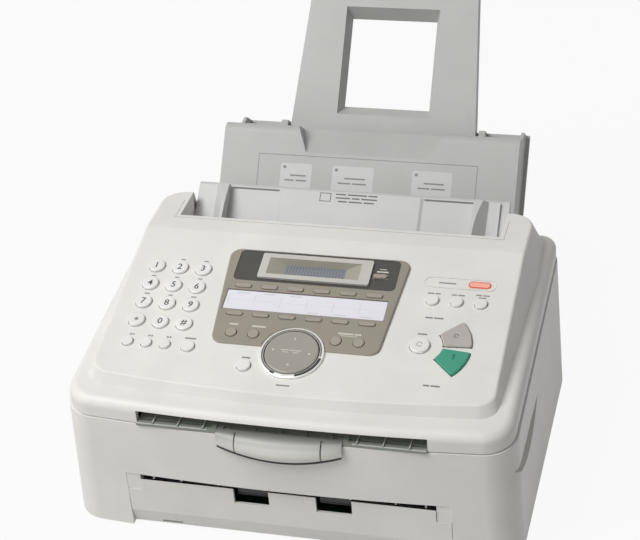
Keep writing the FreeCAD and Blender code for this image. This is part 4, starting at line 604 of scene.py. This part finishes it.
# Painted reflections and painted shadow on the trim ring round the navigator: black reflections at
# its right and lower left, and a dark line inside the ring from its right over the top to its
# lower left, where the gap to the disc is in shade.
RING_TOP, RING_INNER = 2.4, 22.9
painted_reflection_right = ring_part(DIAL_U, DIAL_V, RING_INNER, outer=25.2, start=-72, end=-8)
mark("ring_painted_reflection_right", [painted_reflection_right], RING_TOP, BLACK)
painted_shadow_top = ring_part(DIAL_U, DIAL_V, RING_INNER, outer=24.3, start=-4, end=246, steps=48)
mark("ring_painted_shadow_top", [painted_shadow_top], RING_TOP, RING_PAINTED_SHADOW)
painted_reflection_left = ring_part(DIAL_U, DIAL_V, RING_INNER, outer=25.4, start=-122, end=-112, steps=6)
mark("ring_painted_reflection_left", [painted_reflection_left], RING_TOP, BLACK)

# Painted shadow under the lip of the release lever: a dark strip along the lever's bulge, where
# the gap between lip and wall is in shade.
LIP_HALF, LIP_LOW, LIP_END_LOW = 49.8, 90.0, 98.6
LIP_FRONT, LIP_BULGE = -243.1, 2.7
LEVER_SHADOW_HALF, LEVER_SHADOW_DEPTH, LEVER_SHADOW_STEPS = 1.0, 1.2, 28
rows = []
for i in range(LEVER_SHADOW_STEPS + 1):
    share = 2 * i / LEVER_SHADOW_STEPS - 1
    bulge = 1 - share ** 2
    front = LIP_FRONT - LIP_BULGE * bulge
    height = LIP_END_LOW + (LIP_LOW - LIP_END_LOW) * bulge
    low, high, back = height - LEVER_SHADOW_HALF, height + LEVER_SHADOW_HALF, front + LEVER_SHADOW_DEPTH
    section = [(front, high), (front, low), (back, low), (back, high)]
    rows.append([(share * LIP_HALF, y, z) for y, z in section])
# The black rubber colour here is painted shadow, not a part of the lever.
tube("lever_painted_shadow", rows, Matrix.Identity(4), RUBBER, "cover_release_lever")

# Deeper rim round the status lamp.
LAMP_U, LAMP_V, LAMP_HALF_U, LAMP_HALF_V = 131.7, 122.7, 9.0, 3.2
LAMP_TOP, RIM_ROOT = 0.8, 0.3
RIM_OUTER, RIM_INNER = 0.05, 0.75
PILL_ROUND = 0.95


def pill(inset):
    half_u, half_v = LAMP_HALF_U - inset, LAMP_HALF_V - inset
    return rounded(LAMP_U - half_u, LAMP_V - half_v, LAMP_U + half_u, LAMP_V + half_v,
                   half_v * PILL_ROUND)


rim_low, rim_high = LAMP_TOP - RIM_ROOT, LAMP_TOP + PRINT
rim = [(pill(RIM_OUTER), rim_low), (pill(RIM_OUTER), rim_high),
       (pill(RIM_INNER), rim_high), (pill(RIM_INNER), rim_low)]
funnel("lamp_rim", rim, LAMP_RIM)

# Painted highlights along the ribs and the lip of the document exit, where light catches their
# edges in the dark slot. The lever hides the middle ribs.
RIB_TOP, RIB_PITCH, RIB_HALF = 111.5, 20.5, 0.5
RIB_START, RIB_START_AT_LEVER, RIB_END = 2.2, 14.0, 30.0
RIBS_EACH_SIDE, RIBS_AT_LEVER = 5, 2
LIP_TOP, LIP_INNER, LIP_OUTER = 110.2, 58.0, 115.4
LIP_HIGHLIGHT_FRONT, LIP_HIGHLIGHT_BACK = 1.5, 3.0
rib_highlights = []
for i in range(-RIBS_EACH_SIDE, RIBS_EACH_SIDE + 1):
    u = i * RIB_PITCH
    start = RIB_START_AT_LEVER if abs(i) <= RIBS_AT_LEVER else RIB_START
    rib_highlights.append(box(u - RIB_HALF, start, u + RIB_HALF, RIB_END))
mark("rib_highlights", rib_highlights, RIB_TOP, RIB_HIGHLIGHT, "cover", ON_FLOOR)
lip_highlights = [box(u0, LIP_HIGHLIGHT_FRONT, u1, LIP_HIGHLIGHT_BACK)
             for u0, u1 in ((-LIP_OUTER, -LIP_INNER), (LIP_INNER, LIP_OUTER))]
mark("lip_highlights", lip_highlights, LIP_TOP, RIB_HIGHLIGHT, "cover", ON_FLOOR)

# Short ribs behind the gap over the exit panel.
EXIT_RIBS = (-110, -87, -56, -18, 12, 52, 88, 112)
EXIT_RIB_HALF, EXIT_RIB_LOW, EXIT_RIB_HIGH = 0.6, 50.6, 54.6
EXIT_RIB_BACK, EXIT_RIB_FRONT = -9.0, -6.2
exit_ribs = [box(u - EXIT_RIB_HALF, EXIT_RIB_LOW, u + EXIT_RIB_HALF, EXIT_RIB_HIGH)
             for u in EXIT_RIBS]
slab("exit_ribs", exit_ribs, ON_FRONT, EXIT_RIB_BACK, EXIT_RIB_FRONT, WHITE, "base")

# Plain outline, blocks and bars on the paper tray.
TRAY_BLOCKS = ((-79.0, -50.0), (-31.0, 7.0), (42.0, 78.0))
BLOCK_LOW, BLOCK_HIGH, BLOCK_ROUND = -32.0, 0.5, 2.0
BULLET_IN, BULLET_V, BULLET_RADIUS = 3.6, -3.2, 1.5
tray_outline = frame_bars(-100.5, -44.0, 100.0, 8.0, width=0.6)
mark("tray_outline", tray_outline, 0.0, LINE_INK, "base", ON_TRAY)
tray_blocks = [rounded(u0, BLOCK_LOW, u1, BLOCK_HIGH, BLOCK_ROUND) for u0, u1 in TRAY_BLOCKS]
mark("tray_blocks", tray_blocks, 0.0, BLOCK, "base", ON_TRAY)
tray_print = []
for u0, u1 in TRAY_BLOCKS:
    middle, width = (u0 + u1) / 2, u1 - u0
    tray_print.append(disc(u0 + BULLET_IN, BULLET_V, BULLET_RADIUS))
    tray_print += print_lines(
        (middle + 2.0, -10.5, [width * 0.5], 1.4),
        (middle, -15.0, [width * 0.3, width * 0.34], 1.4, 1.6),
    )
mark("tray_print", tray_print, PRINT, LINE_INK, "base", ON_TRAY)

# Plain outline and bars on the document tray's pad, painted shadow lines along its guides' slots,
# slopes beside the pad.
PAD_TOP, PAD_HALF, PAD_LOW, PAD_HIGH = 1.2, 61.0, -71.0, -1.0
SLOPE_WIDTH, SLOPE_ROOT = 3.0, -0.1
GUIDE_INNER, GUIDE_OUTER, GUIDE_LOW, GUIDE_HIGH = 64.5, 107.0, -2.8, -1.2
feeder_print = frame_bars(-27.5, -9.6, -17.5, -1.6, width=0.7)
feeder_print += print_lines(
    (5.0, -2.4, [9, 17, 8], 1.3, 1.4),
    (5.0, -5.6, [13, 7, 14], 1.3, 1.4),
    (5.0, -8.8, [8, 12, 9], 1.3, 1.4),
)
mark("feeder_print", feeder_print, PAD_TOP, INK, "cover", ON_FEEDER)
# Painted shadow: dark bars where the recess's upper edge shades the guides' slots.
guide_painted_shadows = [box(-GUIDE_OUTER, GUIDE_LOW, -GUIDE_INNER, GUIDE_HIGH),
                 box(GUIDE_INNER, GUIDE_LOW, GUIDE_OUTER, GUIDE_HIGH)]
mark("guide_painted_shadows", guide_painted_shadows, 0.0, INK, "cover", ON_FEEDER)
for name, side in (("left_pad_slope", -1), ("right_pad_slope", 1)):
    edge, foot = side * PAD_HALF, side * (PAD_HALF + SLOPE_WIDTH)
    rows = [[(edge, v, PAD_TOP), (edge, v, SLOPE_ROOT), (foot, v, SLOPE_ROOT)]
            for v in (PAD_LOW, PAD_HIGH)]
    tube(name, rows, ON_FEEDER, TRAY_GREY, "cover")

# Fine line round the document entry.
CROWN_TOP = 172.118
ENTRY_OUTER, ENTRY_INNER = 142.4, 141.9
ENTRY_FRONT, ENTRY_LINE, ENTRY_REAR = 207.0, 207.5, 236.0
entry_line = [box(-ENTRY_OUTER, ENTRY_FRONT, ENTRY_OUTER, ENTRY_LINE),
              box(-ENTRY_OUTER, ENTRY_LINE, -ENTRY_INNER, ENTRY_REAR),
              box(ENTRY_INNER, ENTRY_LINE, ENTRY_OUTER, ENTRY_REAR)]
mark("entry_line", entry_line, CROWN_TOP, PALE_INK, "cover", ON_FLOOR)

# Floor, light and camera.
FLOOR_HALF, FLOOR_SHADE, FLOOR_VARY, FLOOR_GLOW = 6.0, 0.52, 0.01, 0.93
SOFT_STRENGTH, BRIGHT_STRENGTH = 0.25, 1.0
FULL_WHITE = (1, 1, 1, 1)


def background_share(tree):
    """One for rays that show the background itself, nought for rays that light the part."""
    path = tree.nodes.new("ShaderNodeLightPath")
    total = path.outputs["Is Camera Ray"]
    for kind in ("Is Glossy Ray", "Is Transmission Ray"):
        most = tree.nodes.new("ShaderNodeMath")
        most.operation = "MAXIMUM"
        tree.links.new(total, most.inputs[0])
        tree.links.new(path.outputs[kind], most.inputs[1])
        total = most.outputs[0]
    return total


def floor_material():
    """Pale floor that keeps the shadow and is nearly white where it shows."""
    made = Nodes("studio_floor")
    made.set(Roughness=0.9)
    low, high = grey(FLOOR_SHADE - FLOOR_VARY), grey(FLOOR_SHADE + FLOOR_VARY)
    made.feed(Base_Color=made.blend(made.noise(scale=3, detail=2), low, high))
    glow = made.add("ShaderNodeEmission")
    glow.inputs["Color"].default_value = FULL_WHITE
    mix = made.add("ShaderNodeMixShader")
    share = made.calculate("MULTIPLY", background_share(made.tree), FLOOR_GLOW)
    made.join(share, mix.inputs["Fac"])
    made.join(made.shader.outputs["BSDF"], mix.inputs[1])
    made.join(glow.outputs["Emission"], mix.inputs[2])
    made.join(mix.outputs["Shader"], made.out.inputs["Surface"])
    return made.material


floor_data = bpy.data.meshes.new("floor")
floor_corners = [(u, v, 0) for u, v in box(-FLOOR_HALF, -FLOOR_HALF, FLOOR_HALF, FLOOR_HALF)]
floor_data.from_pydata(floor_corners, [], [(0, 1, 2, 3)])
floor_data.materials.append(floor_material())
floor = link(bpy.data.objects.new("floor", floor_data))

world = bpy.data.worlds.new("studio")
scene.world = world
world.use_nodes = True
tree = world.node_tree
tree.nodes.clear()
world_out = tree.nodes.new("ShaderNodeOutputWorld")
choose = tree.nodes.new("ShaderNodeMixShader")
tree.links.new(background_share(tree), choose.inputs["Fac"])
for place, strength in ((1, SOFT_STRENGTH), (2, BRIGHT_STRENGTH)):
    sky = tree.nodes.new("ShaderNodeBackground")
    sky.inputs["Color"].default_value = FULL_WHITE
    sky.inputs["Strength"].default_value = strength
    tree.links.new(sky.outputs["Background"], choose.inputs[place])
tree.links.new(choose.outputs["Shader"], world_out.inputs["Surface"])


def lamp(name, spot, target, size, power):
    data = bpy.data.lights.new(name, "AREA")
    data.shape = "DISK"
    data.size = size
    data.energy = power
    obj = link(bpy.data.objects.new(name, data))
    obj.location = spot
    obj.rotation_mode = "QUATERNION"
    obj.rotation_quaternion = (Vector(target) - Vector(spot)).to_track_quat("-Z", "Y")


lamp("key_light", spot=(-1.1, -0.9, 2.0), target=(0, 0, 0.1), size=1.4, power=37)
lamp("fill_light", spot=(-0.6, -2.2, 0.9), target=(0, -0.1, 0.1), size=1.6, power=5)

AZIMUTH, ELEVATION, ROLL = math.radians(16.62), math.radians(32.96), math.radians(-4.83)
CAMERA_SPOT = Vector((0.3558, -1.2824, 0.9734))
LENS, SENSOR = 102.2, 36
view_dir = Vector((-math.sin(AZIMUTH) * math.cos(ELEVATION),
                   math.cos(AZIMUTH) * math.cos(ELEVATION), -math.sin(ELEVATION)))
level_right = Vector((math.cos(AZIMUTH), math.sin(AZIMUTH), 0))
level_up = level_right.cross(view_dir)
image_right = level_right * math.cos(ROLL) + level_up * math.sin(ROLL)
image_up = level_up * math.cos(ROLL) - level_right * math.sin(ROLL)
turn = Matrix((image_right, image_up, -view_dir)).transposed().to_4x4()
camera_data = bpy.data.cameras.new("camera")
camera_data.lens = LENS
camera_data.sensor_width = SENSOR
camera = link(bpy.data.objects.new("camera", camera_data))
camera.matrix_world = Matrix.Translation(CAMERA_SPOT) @ turn
scene.camera = camera
scene.view_settings.view_transform = "Standard"
